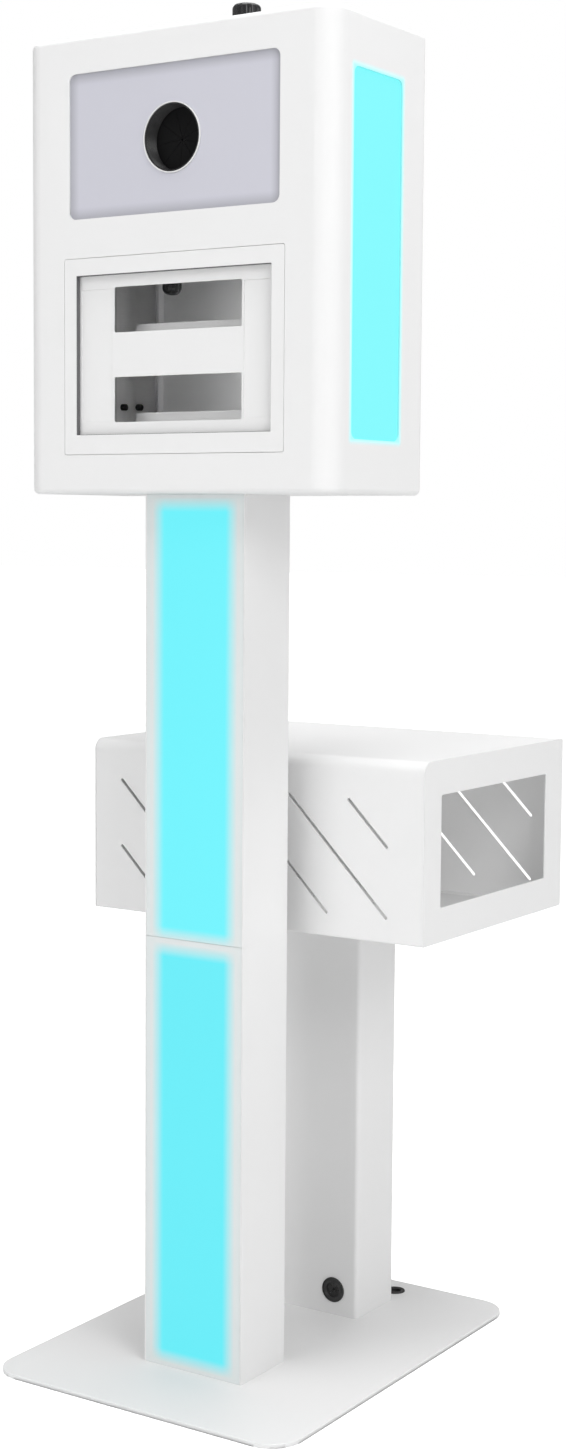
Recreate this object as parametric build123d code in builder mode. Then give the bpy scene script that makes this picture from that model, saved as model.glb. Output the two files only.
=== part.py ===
"""Floor-standing photo kiosk: a lit head on a two-piece light column, with a printer stand behind.

Millimetres, +Z up, front towards -Y. The origin is on the floor under the column's axis.
"""
from build123d import *
from math import cos, radians
import os

os.makedirs("parts", exist_ok=True)

# ---------------------------------------------------------------- driving sizes
sheet = 2.0                    # folded steel of the housings
bracket_sheet = 2.5            # folded steel of the inner brackets
fit = 0.2                      # gap between pieces that are screwed together
running = 0.05                 # radial gap of a pin or a shaft in its bore
clear = 0.3                    # gap between faces that move past each other
opal = 3.0                     # acrylic of every diffuser

base_width = 469.0
base_length = 605.0
base_ahead = 191.5             # front edge, ahead of the column's axis
base_thickness = 6.0
base_corner = 45.0

column_width = 157.0
column_depth = 105.0
column_half_height = 582.0
column_corner = 2.0
sleeve_height = 240.0
foot_height = 46.0

post_setback = 290.0           # from the column's axis to the post's axis
post_depth = 102.0
post_corner = 6.0

box_width = 536.0
box_depth = 399.0
box_height = 241.0
box_ahead = 208.0              # front face, ahead of the post's axis
box_front_round = 16.0
box_edge_round = 3.0
box_window_length = 302.0
box_window_height = 149.0
box_window_back = 45.0         # from the box's front face to its end window
slot_field_width = 434.5
slot_field_height = 156.0
slot_pitch = 93.3
slot_field_shift = 3.75        # the field's centre, left of each wall's centre as seen from outside
slot_field_drop = 12.0         # and below it
slot_width = 4.5

head_width = 476.0
head_depth = 227.0
head_height = 580.0
head_ahead = 105.5             # front face, ahead of the column's axis
head_front_round = 30.0
head_rear_round = 14.0
head_edge_round = 7.0

light_width = 324.0
light_height = 183.0
light_rise = 442.0             # centre of the front light, above the head's underside
light_corner = 10.0
lens_hole_r = 44.0

frame_width = 341.0
frame_height = 251.0
frame_rise = 175.5
recess_width = 302.0
recess_height = 203.5
recess_rise = 177.2
recess_depth = 8.0
slot_opening_width = 198.0
slot_opening_height = 57.4
slot_opening_gap = 56.6        # web between the two openings
slot_opening_shift = 3.5

side_light_width = 115.0
side_light_height = 446.0
side_light_back = 47.0         # from the head's front face to the window
side_light_corner = 10.0
side_tray_depth = 20.0

rear_opening_width = 362.0
rear_opening_height = 500.0
rear_flange = 12.0

# ---------------------------------------------------------------- worked-out places
base_y = base_length / 2 - base_ahead
column_bottom = base_thickness
column_seam = column_bottom + column_half_height
column_top = column_seam + column_half_height
column_front = -column_depth / 2
column_back = column_depth / 2
inner_back = column_back - sheet
inner_half = column_width / 2 - sheet
diffuser_back = column_front + opal

post_top = column_seam
post_front = post_setback - post_depth / 2
post_back = post_setback + post_depth / 2

box_bottom = post_top
box_top = box_bottom + box_height
box_front = post_setback - box_ahead
box_back = box_front + box_depth
box_y = (box_front + box_back) / 2
box_z = box_bottom + box_height / 2
box_end = box_width / 2

head_bottom = column_top
head_top = head_bottom + head_height
head_front = -head_ahead
head_back = head_front + head_depth
head_y = (head_front + head_back) / 2
head_side = head_width / 2
front_inner = head_front + sheet
back_inner = head_back - sheet
light_z = head_bottom + light_rise
frame_z = head_bottom + frame_rise
recess_z = head_bottom + recess_rise
side_light_y = head_front + side_light_back + side_light_width / 2
head_mid_z = head_bottom + head_height / 2
opening_pitch = slot_opening_height + slot_opening_gap


def save(builder, name):
    """Label a finished piece and write it to its own file."""
    builder.part.label = name
    export_step(builder.part, f"parts/{name}.step")


def front_plane(y):
    """A sketch plane facing the front: local x is +X, local y is +Z."""
    return Plane(origin=(0, y, 0), x_dir=(1, 0, 0), z_dir=(0, -1, 0))


def rear_plane(y):
    """A plane that faces the rear at height zero: local x is -X, local y is +Z."""
    return Plane(origin=(0, y, 0), x_dir=(-1, 0, 0), z_dir=(0, 1, 0))


def side_plane(side, x):
    """A plane facing outwards at a side, with local y along +Z and local x along side * Y."""
    return Plane(origin=(side * x, 0, 0), x_dir=(0, side, 0), z_dir=(side, 0, 0))


def button_screw(shank_r, length, head_r, head_height, seat):
    """A button-head screw whose head rises from the seat plane along its normal."""
    with BuildPart() as screw:
        with BuildSketch(seat):
            Circle(head_r)
        extrude(amount=head_height)
        rim = screw.edges().filter_by(GeomType.CIRCLE).sort_by_distance(seat.origin)[-1]
        fillet(rim, head_height * 0.6)
        socket_plane = seat.offset(head_height * 0.4)
        with BuildSketch(socket_plane):
            RegularPolygon(shank_r * 0.6, 6)
        extrude(amount=head_height, mode=Mode.SUBTRACT)
        with BuildSketch(seat):
            Circle(shank_r)
        extrude(amount=-length)
    return screw


def screw_group(name, seats, shank_r, length, head_r, head_height):
    """A set of like screws, one at each seat plane, kept as one node."""
    screws = [button_screw(shank_r, length, head_r, head_height, seat) for seat in seats]
    with BuildPart() as group:
        for screw in screws:
            add(screw.part)
    save(group, name)


# ---------------------------------------------------------------- base plate
foot_screw_x = 50.0
foot_screw_y = 28.0
csk_r = 3.3
csk_head_r = 6.6
base_screw_r = 3.0
base_grommet_r = 13.0
base_grommet_x = 63.6
base_grommet_back = 32.4       # behind the post's rear face
base_grommet_y = post_back + base_grommet_back
foot_places = [
    (x, y)
    for axis_y in (0.0, post_setback)
    for x in (-foot_screw_x, foot_screw_x)
    for y in (axis_y - foot_screw_y, axis_y + foot_screw_y)
]

with BuildPart() as base_plate:
    with BuildSketch():
        with Locations((0, base_y)):
            RectangleRounded(base_width, base_length, base_corner)
    extrude(amount=base_thickness)
    top_rim = base_plate.faces().sort_by(Axis.Z)[-1].outer_wire().edges()
    fillet(top_rim, 1.0)
    with BuildSketch():
        with Locations((base_grommet_x, base_grommet_y)):
            Circle(base_grommet_r)
    extrude(amount=base_thickness, mode=Mode.SUBTRACT)
    with BuildSketch():
        with Locations(*foot_places):
            Circle(csk_r)
    extrude(amount=base_thickness, mode=Mode.SUBTRACT)
    with BuildSketch():
        with Locations(*foot_places):
            Circle(csk_head_r)
    extrude(amount=csk_head_r - csk_r, taper=45, mode=Mode.SUBTRACT)
save(base_plate, "base_plate")

# Countersunk screws come up through the base plate into the two foot brackets.
foot_plate = 4.0
csk_sink = 0.4
with BuildPart() as base_plate_screws:
    with BuildSketch(Plane.XY.offset(csk_sink)):
        with Locations(*foot_places):
            Circle(csk_head_r - csk_sink - fit)
    extrude(amount=csk_head_r - csk_r, taper=45)
    with BuildSketch(Plane.XY.offset(csk_sink)):
        with Locations(*foot_places):
            Circle(base_screw_r)
    extrude(amount=base_thickness + foot_plate + 1.0 - csk_sink)
    with BuildSketch(Plane.XY.offset(csk_sink)):
        with Locations(*foot_places):
            RegularPolygon(1.8, 6)
    extrude(amount=1.6, mode=Mode.SUBTRACT)
save(base_plate_screws, "base_plate_screws")

grommet_bore_r = 8.0
grommet_lip_r = 14.5
grommet_lip = 1.6
with BuildPart() as base_cable_grommet:
    with BuildSketch(Plane.XY.offset(1.0)):
        with Locations((base_grommet_x, base_grommet_y)):
            Circle(base_grommet_r)
    extrude(amount=base_thickness - 1.0)
    with BuildSketch(Plane.XY.offset(base_thickness)):
        with Locations((base_grommet_x, base_grommet_y)):
            Circle(grommet_lip_r)
    extrude(amount=grommet_lip)
    lip_rim = base_cable_grommet.faces().sort_by(Axis.Z)[-1].edges()
    fillet(lip_rim, 0.8)
    with BuildSketch(Plane.XY.offset(1.0)):
        with Locations((base_grommet_x, base_grommet_y)):
            Circle(grommet_bore_r)
    extrude(amount=base_thickness + grommet_lip, mode=Mode.SUBTRACT)
save(base_cable_grommet, "base_cable_grommet")


# ---------------------------------------------------------------- brackets inside the tubes
wall_screw_r = 2.5
wall_screw_x = 52.0
wall_screw_head_r = 4.7
wall_screw_head = 2.6
wall_screw_length = sheet + fit + bracket_sheet + 2.0
cable_way_r = 14.0
bracket_front = 44.0           # from the column's axis to the front edge of its brackets
bracket_corner = 4.6
screw_row = 32.0               # from a tube's end to its row of wall screws


def tube_bracket(axis_y, y_front, y_back, plate_low, flange_low, hole_r):
    """A folded bracket inside a tube: a plate, with flanges at both sides and the back."""
    width = 2 * (inner_half - fit)
    depth = y_back - y_front
    middle = (y_front + y_back) / 2
    with BuildPart() as bracket:
        with BuildSketch(Plane.XY.offset(flange_low)):
            with Locations((0, middle)):
                RectangleRounded(width, depth, bracket_corner)
            with Locations((0, middle - bracket_sheet)):
                Rectangle(width - 2 * bracket_sheet, depth, mode=Mode.SUBTRACT)
        extrude(amount=foot_height)
        with BuildSketch(Plane.XY.offset(plate_low)):
            with Locations((0, middle)):
                RectangleRounded(width, depth, bracket_corner)
        extrude(amount=foot_plate)
        with BuildSketch(Plane.XY.offset(plate_low)):
            with Locations((0, axis_y)):
                with GridLocations(2 * foot_screw_x, 2 * foot_screw_y, 2, 2):
                    Circle(hole_r)
            with Locations((0, axis_y)):
                Circle(cable_way_r)
        extrude(amount=foot_plate, mode=Mode.SUBTRACT)
        for seat in wall_seats(y_back, [flange_low + screw_row_in(plate_low, flange_low)]):
            with BuildSketch(seat):
                Circle(wall_screw_r)
            extrude(amount=-bracket_sheet, mode=Mode.SUBTRACT)
    return bracket


def screw_row_in(plate_low, flange_low):
    """Height of a bracket's wall screws above the bottom of its flanges."""
    if plate_low > flange_low:
        return foot_height - screw_row
    return screw_row


def wall_seats(wall_y, heights):
    """Screw seats on the outside of a rear wall."""
    return [
        Plane(origin=(x, wall_y, z), x_dir=(-1, 0, 0), z_dir=(0, 1, 0))
        for z in heights
        for x in (-wall_screw_x, wall_screw_x)
    ]


column_bracket_back = inner_back - fit
post_bracket_front = post_front + sheet + fit
post_bracket_back = post_back - sheet - fit

with BuildPart() as foot_brackets:
    add(
        tube_bracket(
            0.0, -bracket_front, column_bracket_back, column_bottom, column_bottom, base_screw_r
        ).part
    )
    add(
        tube_bracket(
            post_setback,
            post_bracket_front,
            post_bracket_back,
            column_bottom,
            column_bottom,
            base_screw_r,
        ).part
    )
save(foot_brackets, "foot_brackets")

head_bolt_r = 3.0
with BuildPart() as head_brackets:
    add(
        tube_bracket(
            0.0,
            -bracket_front,
            column_bracket_back,
            column_top - foot_plate,
            column_top - foot_height,
            head_bolt_r,
        ).part
    )
    add(
        tube_bracket(
            post_setback,
            post_bracket_front,
            post_bracket_back,
            post_top - foot_plate,
            post_top - foot_height,
            head_bolt_r,
        ).part
    )
save(head_brackets, "head_brackets")

with BuildPart() as joint_sleeve:
    sleeve_depth = column_bracket_back + bracket_front
    with BuildSketch(Plane.XY.offset(column_seam - sleeve_height / 2)):
        with Locations((0, (column_bracket_back - bracket_front) / 2)):
            Rectangle(2 * (inner_half - fit), sleeve_depth)
        with Locations((0, (column_bracket_back - bracket_front) / 2 - bracket_sheet)):
            Rectangle(2 * (inner_half - fit - bracket_sheet), sleeve_depth, mode=Mode.SUBTRACT)
    extrude(amount=sleeve_height)
    sleeve_rows = [column_seam - sleeve_height / 4, column_seam + sleeve_height / 4]
    for seat in wall_seats(column_bracket_back, sleeve_rows):
        with BuildSketch(seat):
            Circle(wall_screw_r)
        extrude(amount=-bracket_sheet, mode=Mode.SUBTRACT)
save(joint_sleeve, "column_joint_sleeve")

column_rows = [column_bottom + screw_row] + sleeve_rows + [column_top - screw_row]
post_rows = [column_bottom + screw_row, post_top - screw_row]
screw_group(
    "wall_screws",
    wall_seats(column_back, column_rows) + wall_seats(post_back, post_rows),
    wall_screw_r,
    wall_screw_length,
    wall_screw_head_r,
    wall_screw_head,
)


# ---------------------------------------------------------------- light column
ledge_width = 9.0
inlet_z = 84.0
inlet_cut_width = 48.0
inlet_cut_height = 27.0


def column_housing(low, rows):
    """One half of the column: a folded channel, open to the front, with ledges for its diffuser."""
    with BuildPart() as housing:
        with BuildSketch(Plane.XY.offset(low)):
            Rectangle(column_width, column_depth)
            with Locations((0, -sheet)):
                Rectangle(column_width - 2 * sheet, column_depth, mode=Mode.SUBTRACT)
            for side in (-1, 1):
                with Locations((side * (inner_half - ledge_width / 2), diffuser_back + sheet / 2)):
                    Rectangle(ledge_width, sheet)
        extrude(amount=column_half_height)
        corners = housing.edges().filter_by(Axis.Z).filter_by_position(
            Axis.Y, column_back - 0.01, column_back + 0.01
        )
        fillet(corners, column_corner)
        for seat in wall_seats(column_back, rows):
            with BuildSketch(seat):
                Circle(wall_screw_r)
            extrude(amount=-sheet, mode=Mode.SUBTRACT)
    return housing


with BuildPart() as lower_column:
    add(column_housing(column_bottom, column_rows[:2]).part)
    with BuildSketch(rear_plane(column_back)):
        with Locations((0, inlet_z)):
            Rectangle(inlet_cut_width + 2 * fit, inlet_cut_height + 2 * fit)
    extrude(amount=-sheet, mode=Mode.SUBTRACT)
save(lower_column, "lower_column")

upper_column = column_housing(column_seam, column_rows[2:])
save(upper_column, "upper_column")

led_board_width = 96.0
led_board_sheet = 2.0
led_pitch = 33.0
led_board_back = column_bracket_back - bracket_sheet
for name, low in (("lower", column_bottom), ("upper", column_seam)):
    with BuildPart() as diffuser:
        with BuildSketch(Plane.XY.offset(low + fit)):
            with Locations((0, column_front + opal / 2)):
                Rectangle(2 * (inner_half - fit), opal)
        extrude(amount=column_half_height - 2 * fit)
    save(diffuser, f"{name}_column_diffuser")

with BuildPart() as column_led_boards:
    for board_low, board_high in (
        (inlet_z + inlet_cut_height / 2 + 8.0, column_seam - 3.0),
        (column_seam + 3.0, column_top - foot_plate - 3.0),
    ):
        board_middle = (board_low + board_high) / 2
        with BuildSketch(front_plane(led_board_back)):
            with Locations((0, board_middle)):
                Rectangle(led_board_width, board_high - board_low)
        extrude(amount=led_board_sheet)
        led_rows = int((board_high - board_low - 20.0) / led_pitch) + 1
        with BuildSketch(front_plane(led_board_back - led_board_sheet)):
            with Locations((0, board_middle)):
                with GridLocations(led_pitch, led_pitch, 3, led_rows):
                    Rectangle(5.0, 5.0)
        extrude(amount=1.4)
save(column_led_boards, "column_led_boards")


# ---------------------------------------------------------------- mains inlet and rocker switch
inlet_body_depth = 24.0
inlet_flange = 2.5
inlet_flange_width = 62.0
inlet_flange_height = 33.0
socket_width = 24.5
socket_height = 17.0
socket_x = -11.0
rocker_width = 12.6
rocker_height = 20.0
rocker_x = 13.5
rocker_pocket = 9.0
rocker_gap = 0.4
rocker_pin_r = 1.5
rocker_pin_y = column_back + 0.5
inlet_screw_x = 27.5

with BuildPart() as power_inlet:
    with BuildSketch(rear_plane(column_back)):
        with Locations((0, inlet_z)):
            RectangleRounded(inlet_flange_width, inlet_flange_height, 4.0)
    extrude(amount=inlet_flange)
    with BuildSketch(rear_plane(column_back)):
        with Locations((0, inlet_z)):
            Rectangle(inlet_cut_width, inlet_cut_height)
    extrude(amount=-inlet_body_depth)
    with BuildSketch(rear_plane(column_back + inlet_flange)):
        with Locations((socket_x, inlet_z)):
            RectangleRounded(socket_width, socket_height, 4.0)
    extrude(amount=-18.0, mode=Mode.SUBTRACT)
    with BuildSketch(rear_plane(column_back + inlet_flange)):
        with Locations((rocker_x, inlet_z)):
            Rectangle(rocker_width + 2 * rocker_gap, rocker_height + 2 * rocker_gap)
    extrude(amount=-inlet_flange - rocker_pocket, mode=Mode.SUBTRACT)
    with BuildSketch(rear_plane(column_back + inlet_flange - 18.0)):
        with Locations((socket_x, inlet_z)):
            with Locations((-7.0, -2.0), (0.0, 2.5), (7.0, -2.0)):
                Rectangle(2.0, 4.0)
    extrude(amount=12.0)
    with BuildSketch(rear_plane(column_back)):
        with Locations((-inlet_screw_x, inlet_z), (inlet_screw_x, inlet_z)):
            Circle(1.6)
    extrude(amount=inlet_flange, mode=Mode.SUBTRACT)
    rocker_axis = Plane(
        origin=(-rocker_x, rocker_pin_y, inlet_z), x_dir=(0, 1, 0), z_dir=(1, 0, 0)
    )
    pin_half = rocker_width / 2 + rocker_gap + 1.5
    with BuildSketch(rocker_axis.offset(-pin_half)):
        Circle(rocker_pin_r)
    extrude(amount=2 * pin_half, mode=Mode.SUBTRACT)
save(power_inlet, "power_inlet")

with BuildPart() as power_rocker:
    half = rocker_height / 2
    with BuildSketch(rocker_axis.offset(-rocker_width / 2)):
        with BuildLine():
            Polyline((-5.5, -4.0), (-5.5, 4.0), (0.8, half - 0.2), (3.6, half - 0.6))
            ThreePointArc((3.6, half - 0.6), (2.2, 0.0), (4.6, -half + 1.6))
            Polyline((4.6, -half + 1.6), (1.6, -half + 0.2), (-5.5, -4.0))
        make_face()
    extrude(amount=rocker_width)
    with BuildSketch(rocker_axis.offset(-pin_half + clear)):
        Circle(rocker_pin_r - running)
    extrude(amount=2 * (pin_half - clear))
save(power_rocker, "power_rocker")

screw_group(
    "power_inlet_screws",
    [
        Plane(origin=(x, column_back + inlet_flange, inlet_z), x_dir=(-1, 0, 0), z_dir=(0, 1, 0))
        for x in (-inlet_screw_x, inlet_screw_x)
    ],
    1.6,
    inlet_flange,
    2.8,
    1.6,
)


# ---------------------------------------------------------------- rear post
port_x = 39.4
port_z = 36.3 + column_bottom
port_hole_r = 15.0
port_lip_r = 18.0
port_lip = 2.0
port_bore_r = 11.0

with BuildPart() as rear_post:
    with BuildSketch(Plane.XY.offset(column_bottom)):
        with Locations((0, post_setback)):
            RectangleRounded(column_width, post_depth, post_corner)
            RectangleRounded(
                column_width - 2 * sheet, post_depth - 2 * sheet, post_corner - sheet, mode=Mode.SUBTRACT
            )
    extrude(amount=post_top - column_bottom)
    with BuildSketch(front_plane(post_front)):
        with Locations((port_x, port_z)):
            Circle(port_hole_r)
    extrude(amount=-sheet, mode=Mode.SUBTRACT)
    for seat in wall_seats(post_back, post_rows):
        with BuildSketch(seat):
            Circle(wall_screw_r)
        extrude(amount=-sheet, mode=Mode.SUBTRACT)
save(rear_post, "rear_post")

with BuildPart() as post_cable_grommet:
    with BuildSketch(front_plane(post_front)):
        with Locations((port_x, port_z)):
            Circle(port_lip_r)
    extrude(amount=port_lip)
    port_rim = post_cable_grommet.faces().sort_by(Axis.Y)[0].edges()
    fillet(port_rim, 1.2)
    with BuildSketch(front_plane(post_front)):
        with Locations((port_x, port_z)):
            Circle(port_hole_r)
    extrude(amount=-sheet)
    with BuildSketch(front_plane(post_front + sheet)):
        with Locations((port_x, port_z)):
            Circle(port_lip_r - 1.0)
    extrude(amount=-1.5)
    with BuildSketch(front_plane(post_front - port_lip)):
        with Locations((port_x, port_z)):
            Circle(port_bore_r)
    extrude(amount=-(port_lip + sheet + 1.5), mode=Mode.SUBTRACT)
save(post_cable_grommet, "post_cable_grommet")


# ---------------------------------------------------------------- printer box
door_gap = clear


def end_plane(x):
    """A plane across the box: local x is +Y, local y is +Z, and its normal is +X."""
    return Plane(origin=(x, 0, 0), x_dir=(0, 1, 0), z_dir=(1, 0, 0))


def box_outline(x, inset):
    """The box's side outline on a plane across it, drawn in from its outer face."""
    low = (box_front + inset, box_bottom + inset)
    high = (box_back - inset, box_top - inset)
    front_round = box_front_round - inset
    edge_round = max(box_edge_round - inset, 1.0)
    with BuildSketch(end_plane(x)) as outline:
        with BuildLine():
            FilletPolyline(
                low,
                (low[0], high[1]),
                high,
                (high[0], low[1]),
                radius=[edge_round, front_round, edge_round, edge_round],
                close=True,
            )
        make_face()
    return outline.sketch


def slanted_slots(plane, mirror):
    """Diagonal slots that start every pitch along the top of their field and end at its edges."""
    half_width = slot_field_width / 2
    half_height = slot_field_height / 2
    with BuildSketch(plane) as slots:
        for row in range(-1, 5):
            start_x = -half_width + row * slot_pitch
            drop_in = max(0.0, -half_width - start_x)
            drop_out = min(slot_field_height, half_width - start_x)
            middle = (drop_in + drop_out) / 2
            length = (drop_out - drop_in) / cos(radians(45)) - slot_width
            place = (
                mirror * (start_x + middle) - slot_field_shift,
                box_z - slot_field_drop + half_height - middle,
            )
            with Locations(place):
                SlotCenterToCenter(length, slot_width, rotation=-45 * mirror)
    return slots


with BuildPart() as printer_box_shell:
    shell_left = -box_end + sheet + door_gap
    shell_length = box_end - sheet - shell_left
    extrude(box_outline(shell_left, 0.0), amount=shell_length)
    extrude(box_outline(shell_left, sheet), amount=shell_length, mode=Mode.SUBTRACT)
    extrude(slanted_slots(front_plane(box_front), 1).sketch, amount=-sheet, mode=Mode.SUBTRACT)
    extrude(slanted_slots(rear_plane(box_back), -1).sketch, amount=-sheet, mode=Mode.SUBTRACT)
    with BuildSketch(Plane.XY.offset(box_bottom)):
        with Locations((0, post_setback)):
            with GridLocations(2 * foot_screw_x, 2 * foot_screw_y, 2, 2):
                Circle(head_bolt_r)
        with Locations((0, post_setback)):
            Circle(cable_way_r)
    extrude(amount=sheet, mode=Mode.SUBTRACT)
save(printer_box_shell, "printer_box_shell")

window_y = box_front + box_window_back + box_window_length / 2
with BuildPart() as printer_box_end_panel:
    extrude(box_outline(box_end - sheet, 0.0), amount=sheet)
    with BuildSketch(end_plane(box_end - sheet)):
        with Locations((window_y, box_z)):
            RectangleRounded(box_window_length, box_window_height, 3.0)
    extrude(amount=sheet, mode=Mode.SUBTRACT)
save(printer_box_end_panel, "printer_box_end_panel")

mat_width = 420.0
mat_length = 330.0
mat_thickness = 3.0
with BuildPart() as printer_mat:
    with BuildSketch(Plane.XY.offset(box_bottom + sheet)):
        with Locations((0, box_y)):
            RectangleRounded(mat_width, mat_length, 8.0)
        with Locations((0, post_setback)):
            with GridLocations(2 * foot_screw_x, 2 * foot_screw_y, 2, 2):
                Circle(7.0, mode=Mode.SUBTRACT)
        with Locations((0, post_setback)):
            Circle(cable_way_r, mode=Mode.SUBTRACT)
    extrude(amount=mat_thickness)
save(printer_mat, "printer_mat")

# The left end is a door on hinges at the rear, with a folded rim that enters the shell.
door_rim = 12.0
door_rim_gap = 1.0
door_lock_ahead = 34.0         # from the box's front face to the lock's axis
lock_barrel_r = 8.0
door_lock_y = box_front + door_lock_ahead

with BuildPart() as printer_door:
    extrude(box_outline(-box_end, 0.0), amount=sheet)
    rim_inset = sheet + door_rim_gap
    extrude(box_outline(-box_end + sheet, rim_inset), amount=door_rim)
    extrude(box_outline(-box_end + sheet, rim_inset + sheet), amount=door_rim, mode=Mode.SUBTRACT)
    with BuildSketch(end_plane(-box_end)):
        with Locations((door_lock_y, box_z)):
            Circle(lock_barrel_r)
    extrude(amount=sheet, mode=Mode.SUBTRACT)
save(printer_door, "printer_door")


# ---------------------------------------------------------------- hinges and cam locks
hinge_length = 60.0
knuckle_r = 3.5
hinge_pin_r = 1.5
hinge_play = 0.4
leaf_sheet = 1.5
leaf_reach = 26.0
pin_head = 1.0
pin_head_lip = 0.8


def hinge_leaf(axis, near, far, lows, own_thirds, bore_r):
    """Hinge leaves between two plan corners, with knuckles on their own thirds of the length."""
    third = hinge_length / 3
    with BuildPart() as leaves:
        for low in lows:
            with BuildSketch(Plane.XY.offset(low)):
                with Locations(((near[0] + far[0]) / 2, (near[1] + far[1]) / 2)):
                    Rectangle(abs(far[0] - near[0]), abs(far[1] - near[1]))
            extrude(amount=hinge_length)
            for index in range(3):
                if index in own_thirds:
                    with BuildSketch(Plane.XY.offset(low + index * third + hinge_play / 2)):
                        with Locations(axis):
                            Circle(knuckle_r)
                    extrude(amount=third - hinge_play)
                else:
                    with BuildSketch(Plane.XY.offset(low + index * third - hinge_play / 2)):
                        with Locations(axis):
                            Circle(knuckle_r + hinge_play)
                    extrude(amount=third + hinge_play, mode=Mode.SUBTRACT)
            with BuildSketch(Plane.XY.offset(low)):
                with Locations(axis):
                    Circle(bore_r)
            extrude(amount=hinge_length, mode=Mode.SUBTRACT)
    return leaves


def hinge_pins(axis, lows):
    """Hinge pins with small heads at both ends."""
    with BuildPart() as pins:
        for low in lows:
            with BuildSketch(Plane.XY.offset(low)):
                with Locations(axis):
                    Circle(hinge_pin_r)
            extrude(amount=hinge_length)
            for end in (low - pin_head, low + hinge_length):
                with BuildSketch(Plane.XY.offset(end)):
                    with Locations(axis):
                        Circle(hinge_pin_r + pin_head_lip)
                extrude(amount=pin_head)
    return pins


lock_flange_r = 11.0
lock_flange = 2.5
lock_length = 16.0
lock_plug_r = 5.5
cam_length = 29.0
cam_width = 14.0
cam_sheet = 2.5
lock_nut = 4.0
plug_sink = 0.5                # the plug's face, below the flange's
key_slot_width = 1.6
key_slot_length = 7.0
key_slot_depth = 3.0
cam_nut_r = 4.5
cam_nut = 3.0


def lock_housing(seat):
    """The fixed part of a cam lock: an outer flange, a barrel through the door and its nut."""
    with BuildPart() as housing:
        with BuildSketch(seat):
            Circle(lock_flange_r)
        extrude(amount=lock_flange)
        with BuildSketch(seat):
            Circle(lock_barrel_r - fit)
        extrude(amount=-lock_length)
        with BuildSketch(seat.offset(-sheet)):
            RegularPolygon(lock_flange_r, 6)
        extrude(amount=-lock_nut)
        with BuildSketch(seat.offset(lock_flange)):
            Circle(lock_plug_r + running)
        extrude(amount=-lock_flange - lock_length, mode=Mode.SUBTRACT)
    return housing


def lock_plug(seat):
    """The turning part of a cam lock: key plug, flat cam along local x, and the cam's screw."""
    cam_front = -lock_length - clear
    with BuildPart() as plug:
        with BuildSketch(seat.offset(lock_flange - plug_sink)):
            Circle(lock_plug_r)
        extrude(amount=cam_front - lock_flange + plug_sink)
        with BuildSketch(seat.offset(lock_flange - plug_sink)):
            Rectangle(key_slot_width, key_slot_length)
        extrude(amount=-key_slot_depth, mode=Mode.SUBTRACT)
        with BuildSketch(seat.offset(cam_front)):
            with Locations((cam_length / 2 - cam_width / 4, 0)):
                SlotOverall(cam_length + cam_width / 2, cam_width)
        extrude(amount=-cam_sheet)
        with BuildSketch(seat.offset(cam_front - cam_sheet)):
            RegularPolygon(cam_nut_r, 6)
        extrude(amount=-cam_nut)
    return plug


# ---------------------------------------------------------------- printer door's hinges and lock
box_hinge_axis = (-box_end + sheet / 2, box_back + knuckle_r + clear)
box_hinge_inset = 30.0         # from the box's ends to its hinges
box_hinge_lows = [box_bottom + box_hinge_inset, box_top - box_hinge_inset - hinge_length]
save(
    hinge_leaf(
        box_hinge_axis,
        (-box_end - leaf_sheet, box_hinge_axis[1]),
        (-box_end, box_back - leaf_reach),
        box_hinge_lows,
        (1,),
        hinge_pin_r + running,
    ),
    "printer_door_hinge_moving_leaves",
)

box_lock_seat = Plane(origin=(-box_end, door_lock_y, box_z), x_dir=(0, 0, -1), z_dir=(-1, 0, 0))
save(lock_housing(box_lock_seat), "printer_door_lock_housing")
save(lock_plug(box_lock_seat), "printer_door_lock_cam")

keeper_sheet = 1.6
keeper_foot = 22.0
keeper_height = 34.0
keeper_reach = 12.0
keeper_x = -box_end + lock_length - keeper_sheet
with BuildPart() as printer_door_keeper:
    with BuildSketch(front_plane(box_front + sheet)):
        with Locations((keeper_x + keeper_foot / 2, box_z)):
            Rectangle(keeper_foot, keeper_height)
    extrude(amount=-keeper_sheet)
    with BuildSketch(front_plane(box_front + sheet)):
        with Locations((keeper_x + keeper_sheet / 2, box_z)):
            Rectangle(keeper_sheet, keeper_height)
    extrude(amount=-keeper_reach)
save(printer_door_keeper, "printer_door_keeper")


# ---------------------------------------------------------------- head shell
top_knob_x = 75.0
top_knob_y = -50.0
top_stud_r = 4.0
head_bolt_way = head_bolt_r + fit
opening_round = 6.0


def head_body(inset):
    """The head's rounded block, drawn in from its outer faces."""
    with BuildPart() as body:
        with Locations((0, head_y, head_mid_z)):
            Box(head_width - 2 * inset, head_depth - 2 * inset, head_height - 2 * inset)
        rear_face = body.faces().sort_by(Axis.Y)[-1]
        fillet(rear_face.edges(), head_rear_round - inset)
        front_corners = body.edges().filter_by(Axis.Z).group_by(Axis.Y)[0]
        fillet(front_corners, head_front_round - inset)
        ends = body.faces().sort_by(Axis.Z)
        rear_limit = head_back - head_rear_round - 1.0
        end_edges = [*ends[0].edges(), *ends[-1].edges()]
        rims = [edge for edge in end_edges if edge.center().Y < rear_limit]
        fillet(rims, head_edge_round - inset)
    return body


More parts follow.
